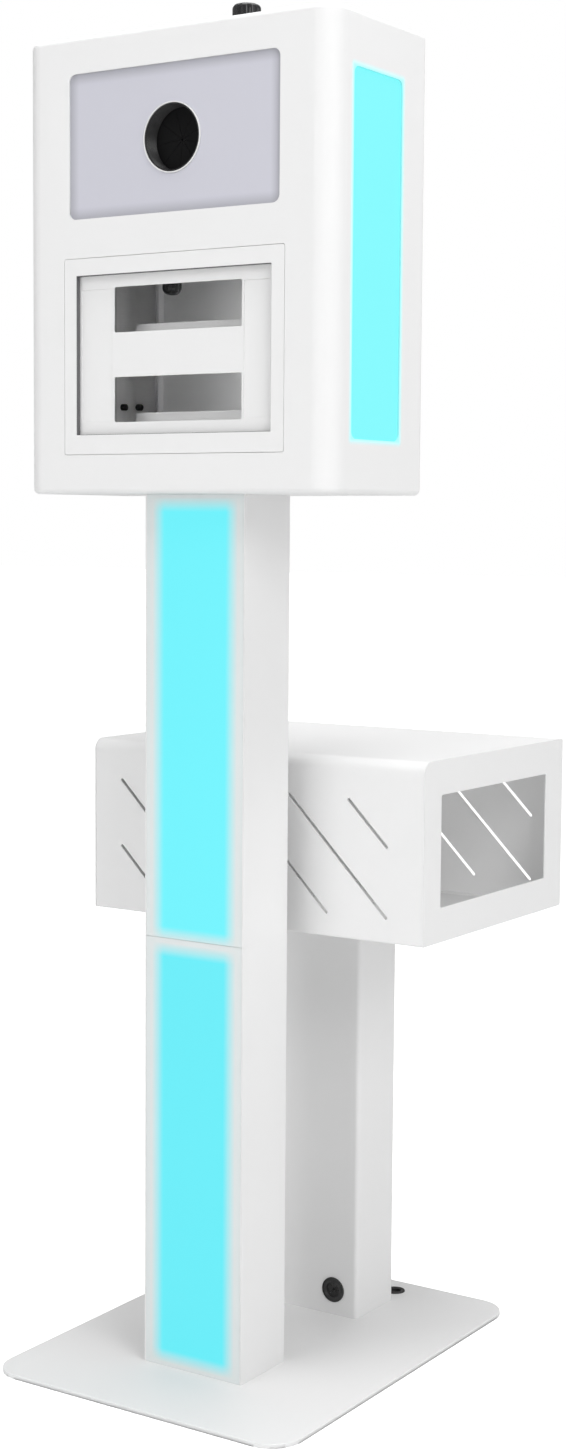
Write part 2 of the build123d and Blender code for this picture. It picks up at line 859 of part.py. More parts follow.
with BuildPart() as head_shell:
    add(head_body(0.0).part)
    add(head_body(sheet).part, mode=Mode.SUBTRACT)
    with BuildSketch(front_plane(head_front)):
        with Locations((0, light_z)):
            RectangleRounded(light_width, light_height, light_corner)
        with Locations((0, frame_z)):
            RectangleRounded(frame_width, frame_height, 3.0)
    extrude(amount=-sheet, mode=Mode.SUBTRACT)
    with BuildSketch(Plane.YZ.offset(-head_side)):
        with Locations((side_light_y, head_mid_z)):
            RectangleRounded(side_light_width, side_light_height, side_light_corner)
    extrude(amount=head_width, mode=Mode.SUBTRACT)
    with BuildSketch(rear_plane(back_inner)):
        with Locations((0, head_mid_z)):
            RectangleRounded(
                rear_opening_width + 2 * sheet, rear_opening_height + 2 * sheet, opening_round + sheet
            )
    extrude(amount=-rear_flange)
    with BuildSketch(rear_plane(head_back)):
        with Locations((0, head_mid_z)):
            RectangleRounded(rear_opening_width, rear_opening_height, opening_round)
    extrude(amount=-sheet - rear_flange, mode=Mode.SUBTRACT)
    with BuildSketch(Plane.XY.offset(head_bottom)):
        with GridLocations(2 * foot_screw_x, 2 * foot_screw_y, 2, 2):
            Circle(head_bolt_way)
        Circle(cable_way_r)
    extrude(amount=sheet, mode=Mode.SUBTRACT)
    with BuildSketch(Plane.XY.offset(head_top - sheet)):
        with Locations((top_knob_x, top_knob_y)):
            Circle(top_stud_r + running)
    extrude(amount=sheet, mode=Mode.SUBTRACT)
save(head_shell, "head_shell")

screw_group(
    "bracket_bolts",
    [
        Plane(origin=(x, axis_y + y, low + sheet), z_dir=(0, 0, 1))
        for axis_y, low in ((0.0, head_bottom), (post_setback, box_bottom))
        for x in (-foot_screw_x, foot_screw_x)
        for y in (-foot_screw_y, foot_screw_y)
    ],
    head_bolt_r,
    sheet + foot_plate + 3.0,
    5.6,
    2.6,
)


# ---------------------------------------------------------------- lights in the head
tray_sheet = 1.2
tray_lip = 12.0
side_tray_lip = 10.0
overlap = 6.0                  # diffuser beyond its window, all round
front_tray_depth = 31.0
board_sheet = 1.6
tube_r = 42.0
tube_wall = 2.0


def light_tray(plane, x, y, width, height, depth, lip):
    """A folded light tray whose lip lies on the plane and whose pan goes back from it."""
    with BuildPart() as tray:
        with BuildSketch(plane):
            with Locations((x, y)):
                Rectangle(width + 2 * (fit + lip), height + 2 * (fit + lip))
        extrude(amount=-tray_sheet)
        with BuildSketch(plane):
            with Locations((x, y)):
                Rectangle(width + 2 * (fit + tray_sheet), height + 2 * (fit + tray_sheet))
        extrude(amount=-depth)
        with BuildSketch(plane):
            with Locations((x, y)):
                Rectangle(width + 2 * fit, height + 2 * fit)
        extrude(amount=-depth + tray_sheet, mode=Mode.SUBTRACT)
    return tray


front_diffuser_width = light_width + 2 * overlap
front_diffuser_height = light_height + 2 * overlap
tray_back = front_inner + front_tray_depth

with BuildPart() as front_light_diffuser:
    with BuildSketch(front_plane(front_inner)):
        with Locations((0, light_z)):
            Rectangle(front_diffuser_width, front_diffuser_height)
            Circle(lens_hole_r, mode=Mode.SUBTRACT)
    extrude(amount=-opal)
save(front_light_diffuser, "front_light_diffuser")

with BuildPart() as front_light_tray:
    add(
        light_tray(
            front_plane(front_inner),
            0,
            light_z,
            front_diffuser_width,
            front_diffuser_height,
            front_tray_depth,
            tray_lip,
        ).part
    )
    with BuildSketch(front_plane(tray_back)):
        with Locations((0, light_z)):
            Circle(tube_r + fit)
    extrude(amount=tray_sheet, mode=Mode.SUBTRACT)
save(front_light_tray, "front_light_tray")

with BuildPart() as front_led_board:
    with BuildSketch(front_plane(tray_back - tray_sheet)):
        with Locations((0, light_z)):
            Rectangle(light_width, light_height)
            Circle(tube_r + fit, mode=Mode.SUBTRACT)
    extrude(amount=board_sheet)
save(front_led_board, "front_led_board")

with BuildPart() as lens_ring:
    with BuildSketch(front_plane(head_front)):
        with Locations((0, light_z)):
            Circle(lens_hole_r - fit)
            Circle(tube_r + fit, mode=Mode.SUBTRACT)
    extrude(amount=-sheet - opal)
save(lens_ring, "lens_ring")

tube_tail = 16.0
tube_flange_r = 52.0
with BuildPart() as lens_tube:
    with BuildSketch(front_plane(head_front + 0.8)):
        with Locations((0, light_z)):
            Circle(tube_r)
    extrude(amount=-(tray_back + tube_tail - head_front - 0.8))
    with BuildSketch(front_plane(tray_back)):
        with Locations((0, light_z)):
            Circle(tube_flange_r)
    extrude(amount=-2.0)
    with BuildSketch(front_plane(head_front + 0.8)):
        with Locations((0, light_z)):
            Circle(tube_r - tube_wall)
    extrude(amount=-(tray_back + tube_tail - head_front), mode=Mode.SUBTRACT)
save(lens_tube, "lens_tube")

side_diffuser_width = side_light_width + 2 * overlap
side_diffuser_height = side_light_height + 2 * overlap
for name, side in (("left", -1), ("right", 1)):
    with BuildPart() as side_diffuser:
        with BuildSketch(side_plane(side, head_side - sheet)):
            with Locations((side * side_light_y, head_mid_z)):
                Rectangle(side_diffuser_width, side_diffuser_height)
        extrude(amount=-opal)
    save(side_diffuser, f"{name}_light_diffuser")

with BuildPart() as side_light_trays:
    for side in (-1, 1):
        add(
            light_tray(
                side_plane(side, head_side - sheet),
                side * side_light_y,
                head_mid_z,
                side_diffuser_width,
                side_diffuser_height,
                side_tray_depth,
                side_tray_lip,
            ).part
        )
save(side_light_trays, "side_light_trays")

with BuildPart() as side_led_boards:
    for side in (-1, 1):
        with BuildSketch(side_plane(side, head_side - sheet - side_tray_depth + tray_sheet)):
            with Locations((side * side_light_y, head_mid_z)):
                Rectangle(side_light_width, side_light_height)
        extrude(amount=board_sheet)
save(side_led_boards, "side_led_boards")


# ---------------------------------------------------------------- tablet pan and its bezel
pan_sheet = 1.5
pan_lip = 12.0
pan_floor = head_front + recess_depth
pan_back = pan_floor + pan_sheet
pocket_depth = 1.2
pocket_height = 171.0
pocket_margin = 1.5            # from a pocket to the edge of the openings
bezel_gap = 0.5
opening_left = slot_opening_shift - slot_opening_width / 2
opening_right = slot_opening_shift + slot_opening_width / 2
pocket_edge = recess_width / 2 - 1.0
pockets = [
    (-pocket_edge, opening_left - pocket_margin),
    (opening_right + pocket_margin, pocket_edge),
]

with BuildPart() as tablet_pan:
    with BuildSketch(front_plane(front_inner)):
        with Locations((0, frame_z)):
            Rectangle(frame_width + 2 * pan_lip, frame_height + 2 * pan_lip)
    extrude(amount=-pan_sheet)
    with BuildSketch(front_plane(front_inner)):
        with Locations((0, frame_z)):
            Rectangle(frame_width + 1.0 + 2 * pan_sheet, frame_height + 1.0 + 2 * pan_sheet)
    extrude(amount=-(pan_back - front_inner))
    with BuildSketch(front_plane(front_inner)):
        with Locations((0, frame_z)):
            Rectangle(frame_width + 1.0, frame_height + 1.0)
    extrude(amount=-(pan_floor - front_inner), mode=Mode.SUBTRACT)
    for left, right in pockets:
        with BuildSketch(front_plane(pan_back)):
            with Locations(((left + right) / 2, recess_z)):
                Rectangle(right - left, pocket_height)
        extrude(amount=-pocket_depth)
        with BuildSketch(front_plane(pan_floor)):
            with Locations(((left + right) / 2, recess_z)):
                Rectangle(right - left - 2 * pan_sheet, pocket_height - 2 * pan_sheet)
        extrude(amount=-pocket_depth, mode=Mode.SUBTRACT)
    with BuildSketch(front_plane(pan_floor)):
        with Locations((slot_opening_shift, recess_z)):
            with GridLocations(1, opening_pitch, 1, 2):
                RectangleRounded(slot_opening_width, slot_opening_height, 2.5)
    extrude(amount=-pan_sheet, mode=Mode.SUBTRACT)
save(tablet_pan, "tablet_pan")

bezel_width = frame_width - 2 * bezel_gap
bezel_height = frame_height - 2 * bezel_gap
with BuildPart() as tablet_bezel:
    with BuildSketch(front_plane(head_front)):
        with Locations((0, frame_z)):
            RectangleRounded(bezel_width, bezel_height, 2.5)
    extrude(amount=-recess_depth + 1.5)
    with BuildSketch(front_plane(front_inner)):
        with Locations((0, frame_z)):
            Rectangle(bezel_width - 2 * sheet, bezel_height - 2 * sheet)
        with Locations((0, recess_z)):
            Rectangle(recess_width + 2 * sheet, recess_height + 2 * sheet, mode=Mode.SUBTRACT)
    extrude(amount=-recess_depth, mode=Mode.SUBTRACT)
    with BuildSketch(front_plane(head_front)):
        with Locations((0, recess_z)):
            Rectangle(recess_width + 2 * sheet, recess_height + 2 * sheet)
    extrude(amount=-recess_depth + 0.5)
    with BuildSketch(front_plane(head_front)):
        with Locations((0, recess_z)):
            Rectangle(recess_width, recess_height)
    extrude(amount=-recess_depth, mode=Mode.SUBTRACT)
save(tablet_bezel, "tablet_bezel")

magnet_r = 4.5
magnet_x = (recess_width / 2 + sheet + bezel_width / 2 - sheet) / 2
magnet_z = bezel_height / 2 - sheet - 10.0
with BuildPart() as bezel_magnets:
    with BuildSketch(front_plane(pan_floor)):
        with Locations((0, frame_z)):
            with GridLocations(2 * magnet_x, 2 * magnet_z, 2, 2):
                Circle(magnet_r)
    extrude(amount=pan_floor - front_inner - clear)
save(bezel_magnets, "bezel_magnets")

tray_reach = 60.0              # from the head's front face to an accessory tray's lip
tray_width = 198.0
tray_lip_rise = 14.4
tray_drop = 1.5


def accessory_tray(sill):
    """A tray behind one opening: a flange on the pan's back, a floor and an upturned rear lip."""
    floor_front = pan_back + pan_sheet
    lip_top = sill + tray_drop + tray_lip_rise
    with BuildPart() as tray:
        with BuildSketch(front_plane(pan_back)):
            with Locations((0, sill - 8.0)):
                Rectangle(tray_width - 22.0, 16.0)
        extrude(amount=-pan_sheet)
        with BuildSketch(front_plane(floor_front)):
            with Locations((0, sill - pan_sheet / 2)):
                Rectangle(tray_width, pan_sheet)
        extrude(amount=-(head_front + tray_reach - floor_front))
        with BuildSketch(front_plane(head_front + tray_reach)):
            with Locations((0, (lip_top + sill - pan_sheet) / 2)):
                Rectangle(tray_width, lip_top - sill + pan_sheet)
        extrude(amount=-pan_sheet)
        lip_corners = tray.edges().filter_by(Axis.Y).filter_by_position(
            Axis.Z, lip_top - 0.01, lip_top + 0.01
        )
        fillet(lip_corners, 4.0)
    return tray


with BuildPart() as accessory_trays:
    for place in (-1, 1):
        opening_low = recess_z + place * opening_pitch / 2 - slot_opening_height / 2
        add(accessory_tray(opening_low - tray_drop).part)
save(accessory_trays, "accessory_trays")


# ---------------------------------------------------------------- camera shelf on its hangers
shelf_rise = 285.0             # underside of the hangers' feet, above the head's underside
hanger_x = 125.0
hanger_length = 100.0
hanger_y = 20.0
hanger_foot = 62.0
shelf_sheet = 3.0
shelf_depth = 110.0
shelf_y = 15.0
shelf_up = 10.0
shelf_knob_x = 75.0
shelf_travel = 20.0
shelf_stud_r = 3.0
knob_flutes = 8
hanger_low = head_bottom + shelf_rise
shelf_low = hanger_low + bracket_sheet + clear
shelf_top = shelf_low + shelf_sheet

with BuildPart() as shelf_hangers:
    for side in (-1, 1):
        with BuildSketch(Plane.XY.offset(hanger_low)):
            with Locations((side * (hanger_x + sheet / 2), hanger_y)):
                Rectangle(sheet, hanger_length)
        extrude(amount=head_top - sheet - hanger_low)
        with BuildSketch(Plane.XY.offset(hanger_low)):
            with Locations((side * (hanger_x - hanger_foot / 2), hanger_y)):
                Rectangle(hanger_foot, hanger_length)
            with Locations((side * shelf_knob_x, 0)):
                SlotCenterToCenter(
                    2 * shelf_travel + 2.0, 2 * shelf_stud_r + 1.0, rotation=90, mode=Mode.SUBTRACT
                )
        extrude(amount=bracket_sheet)
        with BuildSketch(Plane.XY.offset(head_top - 2 * sheet)):
            with Locations((side * (hanger_x + 12.0), hanger_y)):
                Rectangle(24.0, hanger_length)
        extrude(amount=sheet)
save(shelf_hangers, "shelf_hangers")

head_screw_r = 4.8
ball_y = 25.0
with BuildPart() as camera_shelf:
    shelf_width = 2 * (hanger_x - 3.0)
    with BuildSketch(Plane.XY.offset(shelf_low)):
        with Locations((0, shelf_y)):
            Rectangle(shelf_width, shelf_depth)
    extrude(amount=shelf_sheet + shelf_up)
    with BuildSketch(Plane.XY.offset(shelf_top)):
        with Locations((0, shelf_y)):
            Rectangle(shelf_width, shelf_depth - 2 * sheet)
    extrude(amount=shelf_up, mode=Mode.SUBTRACT)
    with BuildSketch(Plane.XY.offset(shelf_low)):
        with Locations((-shelf_knob_x, 0), (shelf_knob_x, 0)):
            Circle(shelf_stud_r + running)
        with Locations((0, ball_y)):
            Circle(head_screw_r)
    extrude(amount=shelf_sheet, mode=Mode.SUBTRACT)
save(camera_shelf, "camera_shelf")


def grip_knob(seat, skirt_r, neck_r, neck, skirt, dome, stud_r, stud):
    """A black grip knob: neck, fluted skirt and dome along the seat's normal, and its stud behind."""
    with BuildPart() as knob:
        with BuildSketch(seat):
            Circle(neck_r)
        extrude(amount=neck)
        with BuildSketch(seat.offset(neck)):
            Circle(skirt_r)
        extrude(amount=skirt + dome)
        crown = seat.offset(neck + skirt + dome).origin
        rim = knob.edges().filter_by(GeomType.CIRCLE).sort_by_distance(crown)[0]
        fillet(rim, dome)
        with BuildSketch(seat.offset(neck)):
            with PolarLocations(skirt_r + 1.6, knob_flutes):
                Circle(3.0)
        extrude(amount=skirt + dome, mode=Mode.SUBTRACT)
        with BuildSketch(seat):
            Circle(stud_r)
        extrude(amount=-stud)
    return knob


for name, side in (("left", -1), ("right", 1)):
    knob_seat = Plane(
        origin=(side * shelf_knob_x, 0, hanger_low - clear), x_dir=(1, 0, 0), z_dir=(0, 0, -1)
    )
    stud_length = shelf_top - hanger_low + clear
    shelf_knob = grip_knob(knob_seat, 13.0, 6.0, 7.0, 8.0, 9.0, shelf_stud_r, stud_length)
    save(shelf_knob, f"{name}_shelf_knob")

# The ball head stands on the shelf, turns on its screw, and tilts on its ball.
ball_r = 15.0
ball_z = shelf_top + 38.0
housing_r = 21.0
housing_top = ball_z + 7.0
ball_stem_r = 6.0
camera_disc_r = 19.0
camera_disc = 8.0
camera_pad = 2.0
pad_top = ball_z + 54.0
disc_low = pad_top - camera_pad - camera_disc
camera_screw_r = 3.175
camera_screw_root_r = 4.5
camera_screw_rise = 5.5
clamp_z = ball_z - 9.0
screw_rise = 16.0

with BuildPart() as ball_head_screw:
    with BuildSketch(Plane.XY.offset(shelf_low - 3.5)):
        with Locations((0, ball_y)):
            RegularPolygon(8.0, 6)
    extrude(amount=3.5)
    with BuildSketch(Plane.XY.offset(shelf_low)):
        with Locations((0, ball_y)):
            Circle(head_screw_r)
    extrude(amount=shelf_sheet + screw_rise)
save(ball_head_screw, "ball_head_screw")

with BuildPart() as ball_head_housing:
    with BuildSketch(Plane.XY.offset(shelf_top + clear)):
        with Locations((0, ball_y)):
            Circle(housing_r + 3.0)
    extrude(amount=8.0)
    with BuildSketch(Plane.XY.offset(shelf_top + clear)):
        with Locations((0, ball_y)):
            Circle(housing_r)
    extrude(amount=housing_top - shelf_top - clear)
    top_edge = ball_head_housing.edges().filter_by(GeomType.CIRCLE).sort_by(Axis.Z)[-1]
    fillet(top_edge, 3.0)
    with Locations((0, ball_y, ball_z)):
        Sphere(ball_r + clear, mode=Mode.SUBTRACT)
    with BuildSketch(Plane.XY.offset(shelf_top)):
        with Locations((0, ball_y)):
            Circle(head_screw_r + running)
    extrude(amount=screw_rise + 1.0, mode=Mode.SUBTRACT)
    with BuildSketch(Plane.YZ.offset(housing_r + 1.0)):
        with Locations((ball_y, clamp_z)):
            Circle(shelf_stud_r + running)
    extrude(amount=-6.5, mode=Mode.SUBTRACT)
save(ball_head_housing, "ball_head_housing")

with BuildPart() as ball_head_ball:
    with Locations((0, ball_y, ball_z)):
        Sphere(ball_r)
    with BuildSketch(Plane.XY.offset(ball_z)):
        with Locations((0, ball_y)):
            Circle(ball_stem_r)
    extrude(amount=disc_low - ball_z)
    with BuildSketch(Plane.XY.offset(disc_low)):
        with Locations((0, ball_y)):
            Circle(camera_disc_r)
    extrude(amount=camera_disc)
    disc_rims = ball_head_ball.edges().filter_by(GeomType.CIRCLE).filter_by_position(
        Axis.Z, disc_low - 0.01, pad_top
    )
    chamfer(disc_rims.filter_by(lambda edge: edge.radius > ball_stem_r + 1.0), 0.8)
    with BuildSketch(Plane.XY.offset(disc_low)):
        with Locations((0, ball_y)):
            Circle(camera_screw_root_r)
    extrude(amount=camera_disc, mode=Mode.SUBTRACT)
save(ball_head_ball, "ball_head_ball")

with BuildPart() as camera_rest_pad:
    with BuildSketch(Plane.XY.offset(pad_top - camera_pad)):
        with Locations((0, ball_y)):
            Circle(camera_disc_r - 1.0)
            Circle(camera_screw_root_r + fit, mode=Mode.SUBTRACT)
    extrude(amount=camera_pad)
save(camera_rest_pad, "camera_pad")

with BuildPart() as camera_screw:
    with BuildSketch(Plane.XY.offset(disc_low)):
        with Locations((0, ball_y)):
            Circle(camera_screw_root_r)
    extrude(amount=pad_top - disc_low)
    with BuildSketch(Plane.XY.offset(pad_top)):
        with Locations((0, ball_y)):
            Circle(camera_screw_r)
    extrude(amount=camera_screw_rise)
    screw_tip = camera_screw.edges().sort_by(Axis.Z)[-1]
    chamfer(screw_tip, 0.5)
save(camera_screw, "camera_screw")

clamp_seat = Plane(origin=(housing_r + clear, ball_y, clamp_z), x_dir=(0, 1, 0), z_dir=(1, 0, 0))
save(grip_knob(clamp_seat, 11.0, 6.0, 2.0, 8.0, 4.0, shelf_stud_r, 5.0), "ball_head_knob")


# ---------------------------------------------------------------- knob on the roof
top_knob_seat = Plane(origin=(top_knob_x, top_knob_y, head_top + clear), z_dir=(0, 0, 1))
save(grip_knob(top_knob_seat, 18.0, 12.0, 4.0, 14.0, 5.7, top_stud_r, 16.0), "top_knob")


# ---------------------------------------------------------------- rear door of the head
rear_door_gap = 2.0
rear_door_width = rear_opening_width - 2 * rear_door_gap
rear_door_height = rear_opening_height - 2 * rear_door_gap
rear_lock_x = rear_opening_width / 2 - 21.0
vent_length = 40.0
vent_width = 5.0
vent_rows = 8

with BuildPart() as rear_door:
    with BuildSketch(rear_plane(head_back)):
        with Locations((0, head_mid_z)):
            RectangleRounded(rear_door_width, rear_door_height, opening_round - rear_door_gap)
    extrude(amount=-sheet - rear_flange + 0.5)
    with BuildSketch(rear_plane(back_inner)):
        with Locations((0, head_mid_z)):
            RectangleRounded(
                rear_door_width - 2 * sheet,
                rear_door_height - 2 * sheet,
                opening_round - rear_door_gap - sheet,
            )
    extrude(amount=-rear_flange, mode=Mode.SUBTRACT)
    with BuildSketch(rear_plane(head_back)):
        with Locations((-rear_lock_x, head_mid_z)):
            Circle(lock_barrel_r)
        with Locations((0, head_mid_z + rear_door_height / 2 - 60.0)):
            with GridLocations(2 * vent_length, 2 * vent_width, 3, vent_rows):
                SlotOverall(vent_length, vent_width)
    extrude(amount=-sheet, mode=Mode.SUBTRACT)
save(rear_door, "rear_door")

rear_hinge_axis = (-rear_opening_width / 2 + 1.0, head_back + knuckle_r + clear)
rear_hinge_lows = [head_mid_z - 180.0 - hinge_length / 2, head_mid_z + 180.0 - hinge_length / 2]
with BuildPart() as hinge_fixed_leaves:
    add(
        hinge_leaf(
            rear_hinge_axis,
            (rear_hinge_axis[0] - hinge_play / 2, head_back),
            (rear_hinge_axis[0] - leaf_reach, head_back + leaf_sheet),
            rear_hinge_lows,
            (0, 2),
            hinge_pin_r,
        ).part
    )
    add(
        hinge_leaf(
            box_hinge_axis,
            (-box_end + sheet + door_gap, box_back),
            (-box_end + sheet + leaf_reach, box_back + leaf_sheet),
            box_hinge_lows,
            (0, 2),
            hinge_pin_r,
        ).part
    )
save(hinge_fixed_leaves, "hinge_fixed_leaves")

save(
    hinge_leaf(
        rear_hinge_axis,
        (rear_hinge_axis[0] + hinge_play / 2, head_back),
        (rear_hinge_axis[0] + leaf_reach, head_back + leaf_sheet),
        rear_hinge_lows,
        (1,),
        hinge_pin_r + running,
    ),
    "rear_door_hinge_moving_leaves",
)

with BuildPart() as all_hinge_pins:
    add(hinge_pins(rear_hinge_axis, rear_hinge_lows).part)
    add(hinge_pins(box_hinge_axis, box_hinge_lows).part)
save(all_hinge_pins, "hinge_pins")

rear_lock_seat = Plane(origin=(rear_lock_x, head_back, head_mid_z), x_dir=(0, 0, -1), z_dir=(0, 1, 0))
save(lock_housing(rear_lock_seat), "rear_door_lock_housing")
save(lock_plug(rear_lock_seat), "rear_door_lock_cam")


# ---------------------------------------------------------------- electrics on the head's floor
floor_top = head_bottom + sheet
supply_x = 140.0
with BuildPart() as led_power_supply:
    with BuildSketch(Plane.XY.offset(floor_top)):
        with Locations((supply_x, 5.0)):
            Rectangle(130.0, 70.0)
    extrude(amount=36.0)
    with BuildSketch(Plane.XY.offset(floor_top)):
        with Locations((supply_x, 5.0)):
            Rectangle(154.0, 44.0)
    extrude(amount=2.0)
save(led_power_supply, "led_power_supply")

clip_r = 4.5
clip_z = head_bottom + 123.0
with BuildPart() as cable_clips:
    with BuildSketch(side_plane(-1, head_side - sheet)):
        with Locations((-(head_back - 18.5), clip_z)):
            Circle(clip_r)
    extrude(amount=-8.0)
    with BuildSketch(rear_plane(back_inner)):
        with Locations((head_side - 22.3, clip_z)):
            Circle(clip_r)
    extrude(amount=-8.0)
    clip_rims = cable_clips.edges().filter_by(GeomType.CIRCLE)
    off_side_wall = clip_rims.filter_by(lambda edge: edge.center().X > -head_side + 3)
    free_rims = off_side_wall.filter_by(lambda edge: edge.center().Y < back_inner - 3)
    fillet(free_rims, 1.5)
save(cable_clips, "cable_clips")
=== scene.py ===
import bpy
import bmesh
from math import cos, pi, radians, sin
from mathutils import Matrix, Vector


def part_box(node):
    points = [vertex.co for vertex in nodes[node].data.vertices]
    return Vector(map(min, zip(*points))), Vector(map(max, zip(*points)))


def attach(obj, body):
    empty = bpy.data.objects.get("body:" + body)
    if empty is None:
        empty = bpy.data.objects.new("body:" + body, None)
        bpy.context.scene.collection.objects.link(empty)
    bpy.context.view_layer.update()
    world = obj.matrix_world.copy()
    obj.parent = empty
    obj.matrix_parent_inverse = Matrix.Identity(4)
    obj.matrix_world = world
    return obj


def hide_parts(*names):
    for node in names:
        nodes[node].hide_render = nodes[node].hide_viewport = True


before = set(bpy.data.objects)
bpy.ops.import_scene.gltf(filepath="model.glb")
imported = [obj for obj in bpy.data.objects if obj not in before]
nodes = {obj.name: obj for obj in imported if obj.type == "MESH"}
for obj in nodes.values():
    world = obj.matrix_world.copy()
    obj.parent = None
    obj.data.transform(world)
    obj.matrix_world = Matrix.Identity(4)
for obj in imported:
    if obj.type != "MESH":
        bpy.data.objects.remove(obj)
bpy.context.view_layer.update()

# ------------------------------------------------------------ studio
# A white room with soft lamps. The kiosk stands on a plain pale floor and is seen
# from a little to its right, at the height of its chest.
scene = bpy.context.scene
scene.view_settings.view_transform = "Standard"

camera_place = Vector((1.6561, -2.3699, 1.1346))
camera_yaw = 0.58
camera_pitch = 0.092
camera_roll = 0.007
level_ahead = Vector((-sin(camera_yaw), cos(camera_yaw), 0))
level_right = Vector((cos(camera_yaw), sin(camera_yaw), 0))
looking = level_ahead * cos(camera_pitch) - Vector((0, 0, sin(camera_pitch)))
level_up = level_right.cross(looking)
camera_right = cos(camera_roll) * level_right + sin(camera_roll) * level_up
camera_up = cos(camera_roll) * level_up - sin(camera_roll) * level_right
camera = bpy.data.objects.new("camera", bpy.data.cameras.new("camera"))
camera.data.lens = 54.68
camera.data.clip_end = 60
camera.matrix_world = Matrix(
    [
        [camera_right.x, camera_up.x, -looking.x, camera_place.x],
        [camera_right.y, camera_up.y, -looking.y, camera_place.y],
        [camera_right.z, camera_up.z, -looking.z, camera_place.z],
        [0, 0, 0, 1],
    ]
)
scene.collection.objects.link(camera)
scene.camera = camera

world = bpy.data.worlds.new("studio")
world.use_nodes = True
scene.world = world
room = world.node_tree
sky = room.nodes["Background"]
sky.inputs["Color"].default_value = (1, 1, 1, 1)
sky.inputs["Strength"].default_value = 0.4
backdrop = room.nodes.new("ShaderNodeBackground")
backdrop.inputs["Color"].default_value = (1, 1, 1, 1)
backdrop.inputs["Strength"].default_value = 1.0
seen = room.nodes.new("ShaderNodeLightPath")
sky_mix = room.nodes.new("ShaderNodeMixShader")
room.links.new(seen.outputs["Is Camera Ray"], sky_mix.inputs[0])
room.links.new(sky.outputs[0], sky_mix.inputs[1])
room.links.new(backdrop.outputs[0], sky_mix.inputs[2])
room.links.new(sky_mix.outputs[0], room.nodes["World Output"].inputs[0])


def softbox(name, place, aim, size, watts):
    lamp = bpy.data.lights.new(name, "AREA")
    lamp.shape = "RECTANGLE"
    lamp.size, lamp.size_y = size
    lamp.energy = watts
    holder = bpy.data.objects.new(name, lamp)
    holder.location = place
    holder.rotation_euler = (Vector(aim) - Vector(place)).to_track_quat("-Z", "Y").to_euler()
    scene.collection.objects.link(holder)


softbox("front", (-0.8, -4.0, 1.7), (0, 0, 1.0), (1.6, 1.8), 28)
softbox("low front", (-0.8, -3.6, 0.5), (0, 0, 0.8), (2.4, 0.9), 9)
softbox("high left", (-1.8, -2.6, 4.2), (0, 0, 1.0), (1.8, 1.6), 15)
softbox("high right", (3.2, -1.8, 3.2), (0, 0, 1.1), (1.8, 1.8), 52)
softbox("right", (3.8, -0.4, 1.4), (0, 0, 1.0), (2.0, 2.4), 9)
softbox("far right", (4.2, 0.2, 1.9), (0, 0, 1.0), (1.8, 1.8), 15)
softbox("overhead", (0.3, 0.2, 4.4), (0, 0.1, 1.0), (2.8, 2.8), 100)


def middle_of(node):
    low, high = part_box(node)
    return (low + high) / 2


# Two small lamps show the inside of the head and of the printer box.
lamp_spot = Vector((0.11, middle_of("head_shell").y, middle_of("tablet_pan").z))
softbox("inside the head", lamp_spot, lamp_spot + Vector((0.35, 1, 0)), (0.1, 0.24), 0.42)
lamp_spot = middle_of("printer_box_shell") + Vector((0.02, -0.1, 0.02))
softbox("inside the box", lamp_spot, lamp_spot + Vector((0.5, 1, -0.2)), (0.2, 0.12), 0.17)
for inner_lamp in ("inside the head", "inside the box"):
    bpy.data.objects[inner_lamp].visible_camera = False

floor_mesh = bpy.data.meshes.new("floor")
floor_shape = bmesh.new()
bmesh.ops.create_grid(floor_shape, x_segments=1, y_segments=1, size=40)
floor_shape.to_mesh(floor_mesh)
floor_shape.free()
floor = bpy.data.objects.new("floor", floor_mesh)
floor.location.z = -0.0004
scene.collection.objects.link(floor)
floor_finish = bpy.data.materials.new("floor")
floor_finish.use_nodes = True
floor_tree = floor_finish.node_tree
floor_paint = floor_tree.nodes["Principled BSDF"]
floor_paint.inputs["Base Color"].default_value = (0.85, 0.85, 0.85, 1)
floor_paint.inputs["Roughness"].default_value = 0.7
floor_paint.inputs["Specular IOR Level"].default_value = 0.15
floor_paint.inputs["Emission Color"].default_value = (1, 1, 1, 1)
floor_eye = floor_tree.nodes.new("ShaderNodeLightPath")
floor_glow = floor_tree.nodes.new("ShaderNodeMath")
floor_glow.operation = "MULTIPLY"
floor_glow.inputs[1].default_value = 0.88
floor_tree.links.new(floor_eye.outputs["Is Camera Ray"], floor_glow.inputs[0])
floor_tree.links.new(floor_glow.outputs[0], floor_paint.inputs["Emission Strength"])
floor_mesh.materials.append(floor_finish)

# ------------------------------------------------------------ base plate
# A 6 mm steel plate with large rounded corners, laser cut and powder coated white.
# It lies on the floor and carries both uprights, screwed from below.


def effect_group(name, inputs, outputs):
    tree = bpy.data.node_groups.new(name, "ShaderNodeTree")
    for label, kind, value in inputs:
        socket = tree.interface.new_socket(label, in_out="INPUT", socket_type=kind)
        socket.default_value = value
    for label, kind in outputs:
        tree.interface.new_socket(label, in_out="OUTPUT", socket_type=kind)
    return tree, tree.nodes.new("NodeGroupInput"), tree.nodes.new("NodeGroupOutput")


def wire(tree, start, end):
    tree.links.new(start, end)


def figure(tree, operation, first, second=None, third=None, limit=False):
    step = tree.nodes.new("ShaderNodeMath")
    step.operation = operation
    step.use_clamp = limit
    for place, value in enumerate((first, second, third)):
        if value is None:
            continue
        if isinstance(value, (int, float)):
            step.inputs[place].default_value = value
        else:
            wire(tree, value, step.inputs[place])
    return step.outputs[0]


